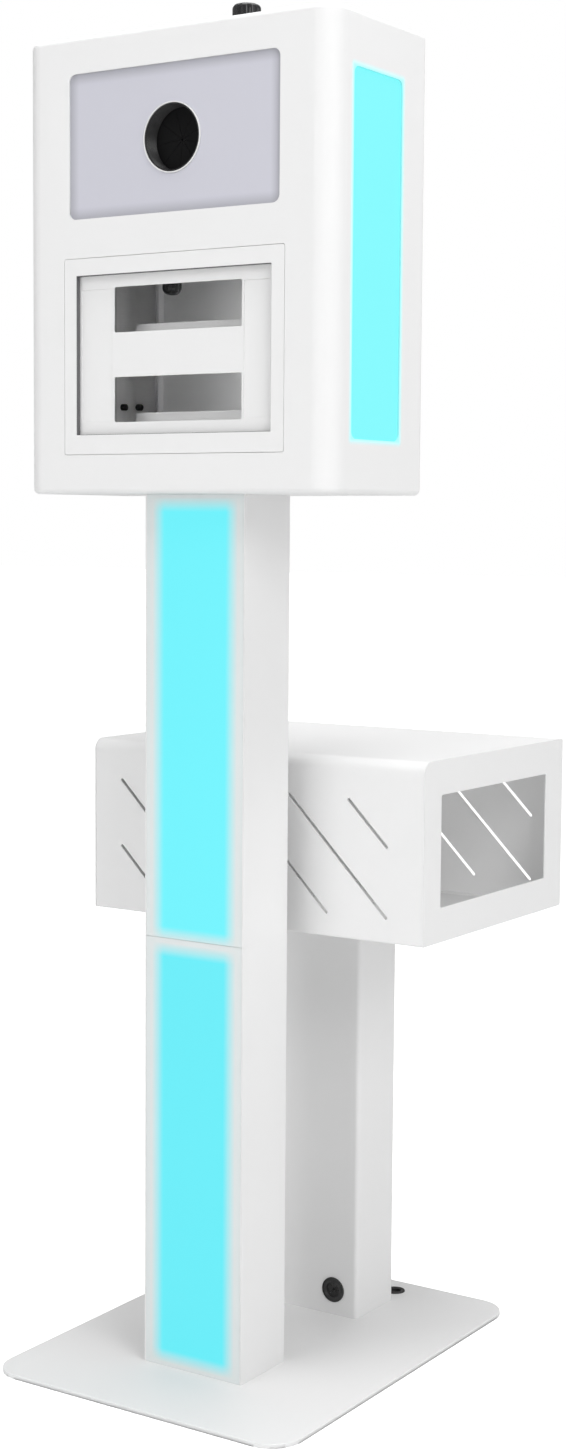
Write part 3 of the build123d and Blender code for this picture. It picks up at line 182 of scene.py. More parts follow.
def object_noise(tree, scale, detail=2.0, rough=0.5):
    place = tree.nodes.new("ShaderNodeTexCoord")
    noise = tree.nodes.new("ShaderNodeTexNoise")
    noise.inputs["Detail"].default_value = detail
    noise.inputs["Roughness"].default_value = rough
    wire(tree, place.outputs["Object"], noise.inputs["Vector"])
    if isinstance(scale, (int, float)):
        noise.inputs["Scale"].default_value = scale
    else:
        wire(tree, scale, noise.inputs["Scale"])
    return noise.outputs["Fac"]


def blend_colours(tree, share, first, second):
    mix = tree.nodes.new("ShaderNodeMix")
    mix.data_type = "RGBA"
    if isinstance(share, (int, float)):
        mix.inputs["Factor"].default_value = share
    else:
        wire(tree, share, mix.inputs["Factor"])
    for label, value in (("A", first), ("B", second)):
        socket = [s for s in mix.inputs if s.name == label and s.type == "RGBA"][0]
        if isinstance(value, tuple):
            socket.default_value = (*value, 1)
        else:
            wire(tree, value, socket)
    return [s for s in mix.outputs if s.type == "RGBA"][0]


# Rounded edges: how far the softened edge turns away from the flat face is also its wear.
edge_tree, edge_in, edge_out = effect_group(
    "edge rounding and wear",
    [
        ("Radius", "NodeSocketFloat", 0.0008),
        ("Gain", "NodeSocketFloat", 6.0),
        ("Patch scale", "NodeSocketFloat", 60.0),
    ],
    [("Normal", "NodeSocketVector"), ("Wear", "NodeSocketFloat")],
)
soft_edge = edge_tree.nodes.new("ShaderNodeBevel")
soft_edge.samples = 6
wire(edge_tree, edge_in.outputs["Radius"], soft_edge.inputs["Radius"])
flat_side = edge_tree.nodes.new("ShaderNodeNewGeometry")
agreement = edge_tree.nodes.new("ShaderNodeVectorMath")
agreement.operation = "DOT_PRODUCT"
wire(edge_tree, soft_edge.outputs["Normal"], agreement.inputs[0])
wire(edge_tree, flat_side.outputs["Normal"], agreement.inputs[1])
rounding = figure(edge_tree, "SUBTRACT", 1.0, agreement.outputs["Value"])
lifted = figure(edge_tree, "MULTIPLY", rounding, edge_in.outputs["Gain"], limit=True)
patches = object_noise(edge_tree, edge_in.outputs["Patch scale"], 4.0, 0.65)
patchy = figure(edge_tree, "SUBTRACT", patches, 0.35)
patchy = figure(edge_tree, "MULTIPLY", patchy, 2.2, limit=True)
wire(edge_tree, soft_edge.outputs["Normal"], edge_out.inputs["Normal"])
wire(edge_tree, figure(edge_tree, "MULTIPLY", lifted, patchy), edge_out.inputs["Wear"])

# Sprayed and moulded skins: a fine relief, with a slow drift in shade and gloss.
skin_tree, skin_in, skin_out = effect_group(
    "fine skin",
    [("Grain scale", "NodeSocketFloat", 900.0), ("Drift scale", "NodeSocketFloat", 5.0)],
    [("Grain", "NodeSocketFloat"), ("Drift", "NodeSocketFloat")],
)
skin_grain = object_noise(skin_tree, skin_in.outputs["Grain scale"], 2.0)
skin_drift = object_noise(skin_tree, skin_in.outputs["Drift scale"], 4.0, 0.6)
wire(skin_tree, skin_grain, skin_out.inputs["Grain"])
wire(skin_tree, skin_drift, skin_out.inputs["Drift"])


def place_group(tree, group, **values):
    step = tree.nodes.new("ShaderNodeGroup")
    step.node_tree = group
    for label, value in values.items():
        step.inputs[label.replace("_", " ")].default_value = value
    return step


def new_finish(name):
    finish = bpy.data.materials.new(name)
    finish.use_nodes = True
    return finish, finish.node_tree, finish.node_tree.nodes["Principled BSDF"]


def fine_relief(tree, shader, skin, edges, strength, distance):
    """A low relief of the skin's grain on top of the softened edges."""
    relief_step = tree.nodes.new("ShaderNodeBump")
    relief_step.inputs["Strength"].default_value = strength
    relief_step.inputs["Distance"].default_value = distance
    wire(tree, skin.outputs["Grain"], relief_step.inputs["Height"])
    wire(tree, edges.outputs["Normal"], relief_step.inputs["Normal"])
    wire(tree, relief_step.outputs["Normal"], shader.inputs["Normal"])


def finish_of(
    name,
    colour,
    worn,
    drift_by,
    rough,
    rough_by,
    grain_scale,
    relief,
    edge_radius=0.0006,
    metallic=0.0,
    specular=0.5,
):
    """A finish with rounded, slightly worn edges, a fine relief, and drifting shade and gloss."""
    finish, tree, shader = new_finish(name)
    shader.inputs["Metallic"].default_value = metallic
    shader.inputs["Specular IOR Level"].default_value = specular
    edges = place_group(tree, edge_tree, Radius=edge_radius, Gain=6.0)
    skin = place_group(tree, skin_tree, Grain_scale=grain_scale)
    darker = tuple(c * (1 - drift_by) for c in colour)
    drifted = blend_colours(tree, skin.outputs["Drift"], darker, colour)
    shade = blend_colours(tree, edges.outputs["Wear"], drifted, worn)
    wire(tree, shade, shader.inputs["Base Color"])
    gloss = figure(tree, "MULTIPLY_ADD", skin.outputs["Drift"], rough_by, rough - rough_by / 2)
    gloss = figure(tree, "MULTIPLY_ADD", skin.outputs["Grain"], rough_by / 2, gloss)
    wire(tree, gloss, shader.inputs["Roughness"])
    fine_relief(tree, shader, skin, edges, 0.5, relief)
    return finish


def dress(finish, *names):
    """Gives a finish to CAD pieces that keep their own shape."""
    for name in names:
        slots = nodes[name].data.materials
        slots.clear()
        slots.append(finish)


def hand_over(name, mesh, finish, body, slot, *stands_for):
    """Gives a mesh its finish, sets the piece on its body and hides the CAD parts it stands for."""
    mesh.materials.clear()
    mesh.materials.append(finish)
    piece = bpy.data.objects.new(name, mesh)
    scene.collection.objects.link(piece)
    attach(piece, body)
    if stands_for:
        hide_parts(*stands_for)


def shade_between_edges(mesh):
    mesh.shade_smooth()
    mesh.set_sharp_from_angle(angle=radians(32))


def smooth_copy(node, name, finish, body, slot):
    """A CAD piece's own shape with its triangles joined, so that its bends shade as bends."""
    mesh = nodes[node].data.copy()
    shape = bmesh.new()
    shape.from_mesh(mesh)
    bmesh.ops.remove_doubles(shape, verts=shape.verts, dist=0.00001)
    shape.to_mesh(mesh)
    shape.free()
    shade_between_edges(mesh)
    draft = bpy.data.objects.new(name + " draft", mesh)
    scene.collection.objects.link(draft)
    flat_first = draft.modifiers.new("flats stay flat", "WEIGHTED_NORMAL")
    flat_first.weight = 100
    flat_first.keep_sharp = True
    ready = draft.evaluated_get(bpy.context.evaluated_depsgraph_get())
    mesh = bpy.data.meshes.new_from_object(ready)
    bpy.data.objects.remove(draft)
    hand_over(name, mesh, finish, body, slot, node)


powder_coat = finish_of(
    "white powder coat",
    colour=(0.84, 0.84, 0.84),
    worn=(0.9, 0.9, 0.9),
    drift_by=0.025,
    rough=0.5,
    rough_by=0.1,
    grain_scale=850.0,
    relief=0.00012,
    specular=0.32,
)
smooth_copy("base_plate", "floor_plate", powder_coat, "stand", "white_paint")

# ------------------------------------------------------------ screws and bolts
# Zinc plated steel screws: countersunk ones under the base plate, button heads through the
# rear walls, bolts between the housings and their brackets.
zinc = finish_of(
    "zinc plate",
    colour=(0.6, 0.61, 0.62),
    worn=(0.72, 0.72, 0.72),
    drift_by=0.12,
    rough=0.32,
    rough_by=0.14,
    grain_scale=2400.0,
    relief=0.00006,
    edge_radius=0.0003,
    metallic=1.0,
)


def turned(shape, outline, seat, axis, steps=48, ripple=None, ring=False):
    """Turns corners of (radius, height) round an axis. A ring's outline closes on itself."""
    across = axis.orthogonal().normalized()
    beside = axis.cross(across)
    rows = []
    for radius, height in outline:
        row = []
        for step in range(steps):
            angle = 2 * pi * step / steps
            reach = radius if ripple is None else ripple(radius, height, angle)
            spoke = across * cos(angle) + beside * sin(angle)
            row.append(shape.verts.new(seat + axis * height + spoke * reach))
        rows.append(row)
    if ring:
        rows.append(rows[0])
    for low, high in zip(rows, rows[1:]):
        for step in range(steps):
            after = (step + 1) % steps
            shape.faces.new((low[step], low[after], high[after], high[step]))
    if not ring:
        shape.faces.new(list(reversed(rows[0])))
        shape.faces.new(rows[-1])


def as_mesh(name, shape):
    bmesh.ops.recalc_face_normals(shape, faces=shape.faces)
    mesh = bpy.data.meshes.new(name)
    shape.to_mesh(mesh)
    shape.free()
    return mesh


def finished(name, shape, finish, body, slot, *stands_for):
    """Turns a drawn shape into a piece, smooth between its sharp edges."""
    mesh = as_mesh(name, shape)
    shade_between_edges(mesh)
    hand_over(name, mesh, finish, body, slot, *stands_for)


def quarter_turn(steps):
    """Pairs of cosine and sine from 0 to a quarter turn."""
    return [(cos(pi / 2 * step / steps), sin(pi / 2 * step / steps)) for step in range(steps + 1)]


def quarter_round(radius, height, bend, steps=6):
    """Corners of a rounded shoulder that ends at a radius and a height."""
    turn = quarter_turn(steps)
    return [(radius + bend * (out - 1), height + bend * (up - 1)) for out, up in turn]


def button_screw(shank_r, length, head_r, head_height):
    """A cut thread under a domed head with a hexagon socket."""
    pitch = 0.0008
    thread_depth = 0.0003
    thread = []
    for turn in range(int(length / pitch)):
        low = -length + turn * pitch
        thread += [(shank_r - thread_depth, low), (shank_r, low + pitch / 2)]
    dome = [(head_r * out, head_height * up) for out, up in quarter_turn(7)[:6]]
    socket_r = shank_r * 0.62
    top = head_height * 0.97
    outline = thread + [(shank_r, 0)] + dome + [(socket_r, top), (socket_r, head_height * 0.4)]

    def hexagon(radius, height, angle):
        if radius != socket_r:
            return radius
        return radius * cos(pi / 6) / cos(angle % (pi / 3) - pi / 6)

    shape = bmesh.new()
    turned(shape, outline, Vector((0, 0, 0)), Vector((0, 0, 1)), 24, hexagon)
    screw = bpy.data.objects.new("screw pattern", as_mesh("screw pattern", shape))
    scene.collection.objects.link(screw)
    return screw


def separate_boxes(node):
    """The lowest and highest corner of each separate solid of a node."""
    shape = bmesh.new()
    shape.from_mesh(nodes[node].data)
    bmesh.ops.remove_doubles(shape, verts=shape.verts, dist=0.00001)
    left = set(shape.verts)
    boxes = []
    while left:
        front = [left.pop()]
        island = []
        while front:
            corner = front.pop()
            island.append(corner.co.copy())
            for edge in corner.link_edges:
                other = edge.other_vert(corner)
                if other in left:
                    left.remove(other)
                    front.append(other)
        low = Vector([min(c[axis] for c in island) for axis in range(3)])
        high = Vector([max(c[axis] for c in island) for axis in range(3)])
        boxes.append((low, high))
    shape.free()
    return sorted(boxes, key=lambda pair: tuple(round(c, 5) for c in pair[0]))


def screw_tree(name):
    """Sets one screw on every point, turned to face outwards."""
    tree = bpy.data.node_groups.new(name, "GeometryNodeTree")
    sockets = {}
    for label, way, kind in (
        ("Seats", "INPUT", "NodeSocketGeometry"),
        ("Screw", "INPUT", "NodeSocketObject"),
        ("Turn", "INPUT", "NodeSocketRotation"),
        ("Finish", "INPUT", "NodeSocketMaterial"),
        ("Screws", "OUTPUT", "NodeSocketGeometry"),
    ):
        sockets[label] = tree.interface.new_socket(label, in_out=way, socket_type=kind).identifier
    given = tree.nodes.new("NodeGroupInput")
    result = tree.nodes.new("NodeGroupOutput")
    pattern = tree.nodes.new("GeometryNodeObjectInfo")
    spread = tree.nodes.new("GeometryNodeInstanceOnPoints")
    real = tree.nodes.new("GeometryNodeRealizeInstances")
    paint = tree.nodes.new("GeometryNodeSetMaterial")
    wire(tree, given.outputs["Screw"], pattern.inputs["Object"])
    wire(tree, given.outputs["Seats"], spread.inputs["Points"])
    wire(tree, pattern.outputs["Geometry"], spread.inputs["Instance"])
    wire(tree, given.outputs["Turn"], spread.inputs["Rotation"])
    wire(tree, spread.outputs["Instances"], real.inputs["Geometry"])
    wire(tree, real.outputs["Geometry"], paint.inputs["Geometry"])
    wire(tree, given.outputs["Finish"], paint.inputs["Material"])
    wire(tree, paint.outputs["Geometry"], result.inputs["Screws"])
    return tree, sockets


screws_on_seats, screw_sockets = screw_tree("screws on their seats")


def screw_set(node, name, axis, shank_r, length, head_r, head_height):
    """Replaces a node's screws by detailed ones on the same seats, along axis 1 (Y) or 2 (Z)."""
    seats = bpy.data.meshes.new(name)
    places = []
    for low, high in separate_boxes(node):
        middle = (low + high) / 2
        middle[axis] = high[axis] - head_height
        places.append(middle)
    seats.from_pydata(places, [], [])
    carrier = bpy.data.objects.new(name + " seats", seats)
    scene.collection.objects.link(carrier)
    pattern = button_screw(shank_r, length, head_r, head_height)
    step = carrier.modifiers.new("screws", "NODES")
    step.node_group = screws_on_seats
    step[screw_sockets["Screw"]] = pattern
    step[screw_sockets["Turn"]] = (-pi / 2, 0, 0) if axis == 1 else (0, 0, 0)
    step[screw_sockets["Finish"]] = zinc
    ready = carrier.evaluated_get(bpy.context.evaluated_depsgraph_get())
    mesh = bpy.data.meshes.new_from_object(ready)
    bpy.data.objects.remove(carrier)
    bpy.data.objects.remove(pattern)
    shade_between_edges(mesh)
    hand_over(name, mesh, zinc, "stand", "zinc", node)


screw_set(
    "wall_screws",
    "rear_wall_button_screws",
    axis=1,
    shank_r=0.0025,
    length=0.0067,
    head_r=0.0047,
    head_height=0.0026,
)
screw_set(
    "bracket_bolts",
    "housing_button_bolts",
    axis=2,
    shank_r=0.003,
    length=0.009,
    head_r=0.0056,
    head_height=0.0026,
)
dress(
    zinc,
    "base_plate_screws",
    "power_inlet_screws",
    "ball_head_screw",
    "camera_screw",
    "hinge_fixed_leaves",
    "hinge_pins",
    "rear_door_hinge_moving_leaves",
    "printer_door_hinge_moving_leaves",
    "rear_door_lock_cam",
    "printer_door_lock_cam",
)

# ------------------------------------------------------------ inner brackets
# Folded steel of 2.5 to 4 mm, left zinc grey. They stand inside the uprights at top and
# bottom, a sleeve joins the column's two channels, and the door's keeper is of the same steel.
bracket_steel = finish_of(
    "bracket steel",
    colour=(0.5, 0.51, 0.52),
    worn=(0.66, 0.66, 0.67),
    drift_by=0.2,
    rough=0.4,
    rough_by=0.16,
    grain_scale=700.0,
    relief=0.00008,
    metallic=1.0,
)
dress(
    bracket_steel,
    "foot_brackets",
    "head_brackets",
    "column_joint_sleeve",
    "printer_door_keeper",
)

# ------------------------------------------------------------ light column
# Two folded steel channels, one on the other, powder coated white and open towards the front.
# Each holds a long opal acrylic strip, lit from behind in turquoise. The glow fades out
# towards the strip's rim, where the boards behind it end.
dress(powder_coat, "lower_column", "upper_column")
glow_tree, glow_in, glow_out = effect_group(
    "glow with a soft rim",
    [
        ("Middle", "NodeSocketVector", (0, 0, 0)),
        ("Half size", "NodeSocketVector", (0.05, 1, 0.1)),
        ("Fade", "NodeSocketFloat", 0.01),
        ("Lamp pitch", "NodeSocketFloat", 190.0),
    ],
    [("Glow", "NodeSocketFloat"), ("Unevenness", "NodeSocketFloat")],
)
glow_place = glow_tree.nodes.new("ShaderNodeTexCoord")
glow_offset = glow_tree.nodes.new("ShaderNodeVectorMath")
glow_offset.operation = "SUBTRACT"
wire(glow_tree, glow_place.outputs["Object"], glow_offset.inputs[0])
wire(glow_tree, glow_in.outputs["Middle"], glow_offset.inputs[1])
glow_axes = glow_tree.nodes.new("ShaderNodeSeparateXYZ")
wire(glow_tree, glow_offset.outputs[0], glow_axes.inputs[0])
glow_limits = glow_tree.nodes.new("ShaderNodeSeparateXYZ")
wire(glow_tree, glow_in.outputs["Half size"], glow_limits.inputs[0])
glow_share = 1.0
for axis in range(3):
    reach = figure(glow_tree, "ABSOLUTE", glow_axes.outputs[axis])
    room = figure(glow_tree, "SUBTRACT", glow_limits.outputs[axis], reach)
    ramp = figure(glow_tree, "DIVIDE", room, glow_in.outputs["Fade"])
    ramp = figure(glow_tree, "ADD", ramp, 0.5, limit=True)
    eased = figure(glow_tree, "SMOOTH_MIN", ramp, 1.0, 0.25)
    glow_share = figure(glow_tree, "MULTIPLY", glow_share, eased)
wire(glow_tree, glow_share, glow_out.inputs["Glow"])
wire(glow_tree, object_noise(glow_tree, 3.0, 1.0), glow_out.inputs["Unevenness"])

# The share of the glow that falls on what stands round the panes.
spill_share = 0.3


def lit_opal(name, middle, half_size, fade, bright, dim, rim):
    """Opal acrylic with light behind it, bright inside its rim and dark beyond it."""
    finish, tree, shader = new_finish(name)
    glow = place_group(tree, glow_tree, Middle=middle, Half_size=half_size, Fade=fade)
    skin = place_group(tree, skin_tree, Grain_scale=1500.0)
    edges = place_group(tree, edge_tree, Radius=0.0005, Gain=4.0)
    eye = tree.nodes.new("ShaderNodeLightPath")
    spill = figure(tree, "MULTIPLY_ADD", eye.outputs["Is Camera Ray"], 1 - spill_share, spill_share)
    strength = figure(tree, "MULTIPLY", glow.outputs["Glow"], spill)
    lamp_colour = blend_colours(tree, glow.outputs["Unevenness"], dim, bright)
    lamp_light = blend_colours(tree, strength, (0, 0, 0), lamp_colour)
    wire(tree, lamp_light, shader.inputs["Emission Color"])
    shader.inputs["Emission Strength"].default_value = 1.0
    lit_base = tuple(c * 0.06 for c in bright)
    acrylic = blend_colours(tree, glow.outputs["Glow"], rim, lit_base)
    wire(tree, acrylic, shader.inputs["Base Color"])
    gloss = figure(tree, "MULTIPLY_ADD", skin.outputs["Drift"], 0.1, 0.36)
    wire(tree, gloss, shader.inputs["Roughness"])
    fine_relief(tree, shader, skin, edges, 0.3, 0.00005)
    return finish


upper_glow = (0.065, 0.85, 0.94)
lower_glow = (0.04, 0.8, 0.9)
glow_half_width = 0.0575
for strip, middle, half, glow_colour in (
    ("lower_column_diffuser", 0.2965, 0.276, lower_glow),
    ("upper_column_diffuser", 0.8755, 0.281, upper_glow),
):
    strip_finish = lit_opal(
        "opal " + strip.split("_")[0],
        middle=(0, 0, middle),
        half_size=(glow_half_width, 1, half),
        fade=0.019,
        bright=glow_colour,
        dim=tuple(c * 0.97 for c in glow_colour),
        rim=(0.74, 0.78, 0.78),
    )
    dress(strip_finish, strip)

# Boards with rows of small lamps stand behind the strips, on the column's rear wall.
board_white = finish_of(
    "lamp board",
    colour=(0.8, 0.81, 0.79),
    worn=(0.6, 0.6, 0.5),
    drift_by=0.06,
    rough=0.5,
    rough_by=0.12,
    grain_scale=600.0,
    relief=0.00005,
)
dress(board_white, "column_led_boards", "side_led_boards", "front_led_board")

# ------------------------------------------------------------ power inlet
# A black moulded mains inlet with a polished rocker switch, screwed on low down at the back
# of the column. The cable clips in the head are moulded from the same plastic.
black_plastic = finish_of(
    "black moulded plastic",
    colour=(0.014, 0.014, 0.015),
    worn=(0.05, 0.05, 0.05),
    drift_by=0.25,
    rough=0.44,
    rough_by=0.14,
    grain_scale=1800.0,
    relief=0.00008,
)
dress(black_plastic, "power_inlet", "cable_clips")
black_gloss = finish_of(
    "black polished plastic",
    colour=(0.008, 0.008, 0.009),
    worn=(0.04, 0.04, 0.04),
    drift_by=0.2,
    rough=0.16,
    rough_by=0.08,
    grain_scale=300.0,
    relief=0.00002,
)
dress(black_gloss, "power_rocker")

# ------------------------------------------------------------ rear post and grommets
# A rectangular steel tube that carries the printer box. Black rubber grommets, slit so
# that a plug can pass, line the cable holes of the post and the base plate.
black_rubber = finish_of(
    "black rubber",
    colour=(0.02, 0.02, 0.02),
    worn=(0.07, 0.07, 0.07),
    drift_by=0.3,
    rough=0.6,
    rough_by=0.16,
    grain_scale=1100.0,
    relief=0.0001,
)
rubber_shader = black_rubber.node_tree.nodes["Principled BSDF"]
rubber_shader.inputs["Coat Roughness"].default_value = 0.25
rubber_shader.inputs["Coat Weight"].default_value = 0.3
smooth_copy("rear_post", "printer_post", powder_coat, "stand", "white_paint")
dress(black_rubber, "camera_pad")


def slit_flaps(shape, centre, axis, reach, flaps, sheet, sag):
    """A thin rubber web, slit into flaps that meet near its centre and hang back a little there."""
    across = axis.orthogonal().normalized()
    beside = axis.cross(across)
    slit = 0.00015
    rim_steps = 6
    spread = 2 * pi / flaps
    turn = (spread - 2 * slit / reach) / rim_steps
    tip_reach = 2 * slit / sin(spread / 2)
    for flap in range(flaps):
        start = spread * flap
        middle = start + spread / 2
        rim = [start + slit / reach + turn * step for step in range(rim_steps + 1)]
        flat = [(reach * cos(angle), reach * sin(angle), 0.0) for angle in rim]
        flat.append((tip_reach * cos(middle), tip_reach * sin(middle), -sag))
        front = [shape.verts.new(centre + across * a + beside * b + axis * c) for a, b, c in flat]
        back = [shape.verts.new(corner.co - axis * sheet) for corner in front]
        tip_front = front[-1]
        tip_back = back[-1]
        for step in range(rim_steps):
            shape.faces.new((front[step], front[step + 1], tip_front))
            shape.faces.new((back[step + 1], back[step], tip_back))
        for step in range(rim_steps + 1):
            shape.faces.new((front[step + 1], front[step], back[step], back[step + 1]))
        shape.faces.new((front[0], tip_front, tip_back, back[0]))


def cable_grommet(node, name, axis, panel, lip):
    """A rubber ring snapped into a sheet, with a slit web across its bore."""
    low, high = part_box(node)
    turn_axis = max(range(3), key=lambda index: abs(axis[index]))
    seat = middle_of(node)
    outer = high if axis[turn_axis] > 0 else low
    seat[turn_axis] = outer[turn_axis] - axis[turn_axis] * lip
    lip_r = max((high - low)[index] for index in range(3) if index != turn_axis) / 2
    depth = high[turn_axis] - low[turn_axis] - lip
    bore_r = lip_r * 0.58
    neck_r = lip_r - 0.0032
    back_r = lip_r - 0.001
    lip_bend = 0.0012
    bend_start = 0.3
    outline = [(bore_r, -depth), (bore_r, lip * bend_start)]
    for step in range(1, 5):
        rise = sin(pi / 2 * step / 4)
        outline.append((bore_r + lip_bend * step / 4, lip * (bend_start + (1 - bend_start) * rise)))
    outline += quarter_round(lip_r, lip, lip_bend)
    outline += [(lip_r, 0.0001), (neck_r, 0.0), (neck_r, -panel)]
    if depth > panel:
        outline += [(back_r, -panel), (back_r, -depth)]
    shape = bmesh.new()
    turned(shape, outline, seat, axis, 64, ring=True)
    web_seat = seat - axis * (depth / 2)
    slit_flaps(shape, web_seat, axis, bore_r, flaps=8, sheet=0.0008, sag=0.0006)
    finished(name, shape, black_rubber, "stand", "black_rubber", node)


cable_grommet(
    "post_cable_grommet",
    "slit_post_grommet",
    Vector((0, -1, 0)),
    panel=0.002,
    lip=0.002,
)
cable_grommet(
    "base_cable_grommet",
    "slit_base_grommet",
    Vector((0, 0, 1)),
    panel=0.005,
    lip=0.0016,
)

# ------------------------------------------------------------ printer box
# A folded steel housing with slanted slots front and rear, an end panel with a window, and
# a hinged end door on the far side.
smooth_copy("printer_box_shell", "folded_box_shell", powder_coat, "stand", "white_paint")
dress(powder_coat, "printer_box_end_panel", "printer_door")

# A pale ribbed rubber mat lies on the box's floor, under the printer.
mat_rubber = finish_of(
    "pale mat rubber",
    colour=(0.74, 0.74, 0.74),
    worn=(0.8, 0.8, 0.8),
    drift_by=0.04,
    rough=0.62,
    rough_by=0.12,
    grain_scale=700.0,
    relief=0.0002,
)
dress(mat_rubber, "printer_mat")

# ------------------------------------------------------------ cam locks
# A nickel plated lock housing in each door, with a turning plug and its cam behind. The
# magnets that hold the tablet bezel are plated in the same way.
bright_metal = finish_of(
    "bright nickel",
    colour=(0.75, 0.75, 0.74),
    worn=(0.85, 0.85, 0.84),
    drift_by=0.08,
    rough=0.16,
    rough_by=0.1,
    grain_scale=500.0,
    relief=0.00002,
    edge_radius=0.0003,
    metallic=1.0,
)
dress(bright_metal, "rear_door_lock_housing", "printer_door_lock_housing", "bezel_magnets")

# ------------------------------------------------------------ head
# A deep steel head, folded and welded, with rounded corners and powder coated white outside
# and in. Where the lit side panes meet the coat, light is painted on: the coat glows and is
# tinted turquoise a few millimetres past each window's edge.
dress(powder_coat, "rear_door", "tablet_bezel", "tablet_pan", "accessory_trays")
window_low, window_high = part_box("right_light_diffuser")
window_middle = middle_of("right_light_diffuser")
window_overlap = 0.006
halo_tree, halo_in, halo_out = effect_group(
    "painted light past a window",
    [
        ("Middle", "NodeSocketVector", (0, 0, 0)),
        ("Half size", "NodeSocketVector", (1, 0.05, 0.2)),
        ("Reach", "NodeSocketFloat", 0.008),
    ],
    [("Halo", "NodeSocketFloat")],
)
halo_place = halo_tree.nodes.new("ShaderNodeTexCoord")
halo_steps = [halo_place.outputs["Object"]]
for operation, second in (
    ("SUBTRACT", halo_in.outputs["Middle"]),
    ("ABSOLUTE", None),
    ("SUBTRACT", halo_in.outputs["Half size"]),
    ("MAXIMUM", None),
):
    halo_step = halo_tree.nodes.new("ShaderNodeVectorMath")
    halo_step.operation = operation
    wire(halo_tree, halo_steps[-1], halo_step.inputs[0])
    if second is not None:
        wire(halo_tree, second, halo_step.inputs[1])
    halo_steps.append(halo_step.outputs[0])
halo_length = halo_tree.nodes.new("ShaderNodeVectorMath")
halo_length.operation = "LENGTH"
wire(halo_tree, halo_steps[-1], halo_length.inputs[0])
halo_share = figure(halo_tree, "DIVIDE", halo_length.outputs["Value"], halo_in.outputs["Reach"])
halo_share = figure(halo_tree, "SUBTRACT", 1.0, halo_share, limit=True)
wire(halo_tree, figure(halo_tree, "POWER", halo_share, 1.6), halo_out.inputs["Halo"])

head_coat = powder_coat.copy()
head_coat.name = "white powder coat of the head"
head_paint = head_coat.node_tree
head_shader = head_paint.nodes["Principled BSDF"]
halo = place_group(
    head_paint,
    halo_tree,
    Middle=(0, window_middle.y, window_middle.z),
    Half_size=(
        1,
        (window_high.y - window_low.y) / 2 - window_overlap,
        (window_high.z - window_low.z) / 2 - window_overlap,
    ),
)
head_place = head_paint.nodes.new("ShaderNodeTexCoord")
head_axes = head_paint.nodes.new("ShaderNodeSeparateXYZ")
wire(head_paint, head_place.outputs["Object"], head_axes.inputs[0])
off_centre = figure(head_paint, "ABSOLUTE", head_axes.outputs["X"])
side_skin = 0.0022
side_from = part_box("head_shell")[1].x - side_skin
on_side = figure(head_paint, "GREATER_THAN", off_centre, side_from)
# Painted light: near each side window the coat glows turquoise and its colour is tinted turquoise.
halo_here = figure(head_paint, "MULTIPLY", halo.outputs["Halo"], on_side)
halo_strength = figure(head_paint, "MULTIPLY", halo_here, 0.3)
halo_light = blend_colours(head_paint, halo_strength, (0, 0, 0), (0.1, 0.9, 0.95))
wire(head_paint, halo_light, head_shader.inputs["Emission Color"])
head_shader.inputs["Emission Strength"].default_value = 1.0
plain_coat = head_shader.inputs["Base Color"].links[0].from_socket
painted_glow_tint = figure(head_paint, "MULTIPLY", halo_here, 0.75)
coat_with_painted_glow = blend_colours(head_paint, painted_glow_tint, plain_coat, (0.3, 0.84, 0.86))
wire(head_paint, coat_with_painted_glow, head_shader.inputs["Base Color"])
smooth_copy("head_shell", "welded_head_shell", head_coat, "stand", "white_paint")

# ------------------------------------------------------------ recess strip of painted shade
# A thin dark strip inside the bezel's edge is painted shade: it darkens the recess's reveals,
# where shade falls. It moves with the bezel when that is pulled off.
# Painted shade: a dark grey sheet lines the recess where its reveals lie in shade.
shade_strip_finish = finish_of(
    "dark strip of painted shade",
    colour=(0.16, 0.16, 0.165),
    worn=(0.22, 0.22, 0.22),
    drift_by=0.3,
    rough=0.9,
    rough_by=0.1,
    grain_scale=2600.0,
    relief=0.0003,
    edge_radius=0.0002,
)
shade_strip_sheet = 0.0006
shade_strip_behind_bezel = 0.0007
shade_strip_into_pan = 0.0048
recess_half_width = 0.151
recess_half_height = 0.10175
recess_above_head_floor = 0.1772
recess_middle_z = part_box("head_shell")[0].z + recess_above_head_floor
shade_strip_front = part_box("tablet_bezel")[0].y + shade_strip_behind_bezel
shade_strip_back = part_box("tablet_pan")[0].y + shade_strip_into_pan
shape = bmesh.new()
shade_strip_rows = []
for inset, y in (
    (0, shade_strip_front),
    (0, shade_strip_back),
    (shade_strip_sheet, shade_strip_back),
    (shade_strip_sheet, shade_strip_front),
):
    half_x = recess_half_width - inset
    half_z = recess_half_height - inset
    corners = ((-half_x, -half_z), (half_x, -half_z), (half_x, half_z), (-half_x, half_z))
    shade_strip_rows.append([shape.verts.new((x, y, recess_middle_z + z)) for x, z in corners])
shade_strip_rows.append(shade_strip_rows[0])
for low, high in zip(shade_strip_rows, shade_strip_rows[1:]):
    for step in range(4):
        after = (step + 1) % 4
        shape.faces.new((low[step], low[after], high[after], high[step]))
finished("recess_felt_lining", shape, shade_strip_finish, "tablet_bezel", "black_rubber")

# ------------------------------------------------------------ inner sheet parts
# The camera shelf on its two hangers and the trays behind the lights are folded sheet. They
# carry a grey coat that doesn't show up behind the openings.
inner_coat = finish_of(
    "grey inner coat",
    colour=(0.5, 0.5, 0.5),
    worn=(0.6, 0.6, 0.6),
    drift_by=0.05,
    rough=0.5,
    rough_by=0.1,
    grain_scale=850.0,
    relief=0.0001,
)
dress(inner_coat, "front_light_tray", "side_light_trays", "shelf_hangers", "camera_shelf")
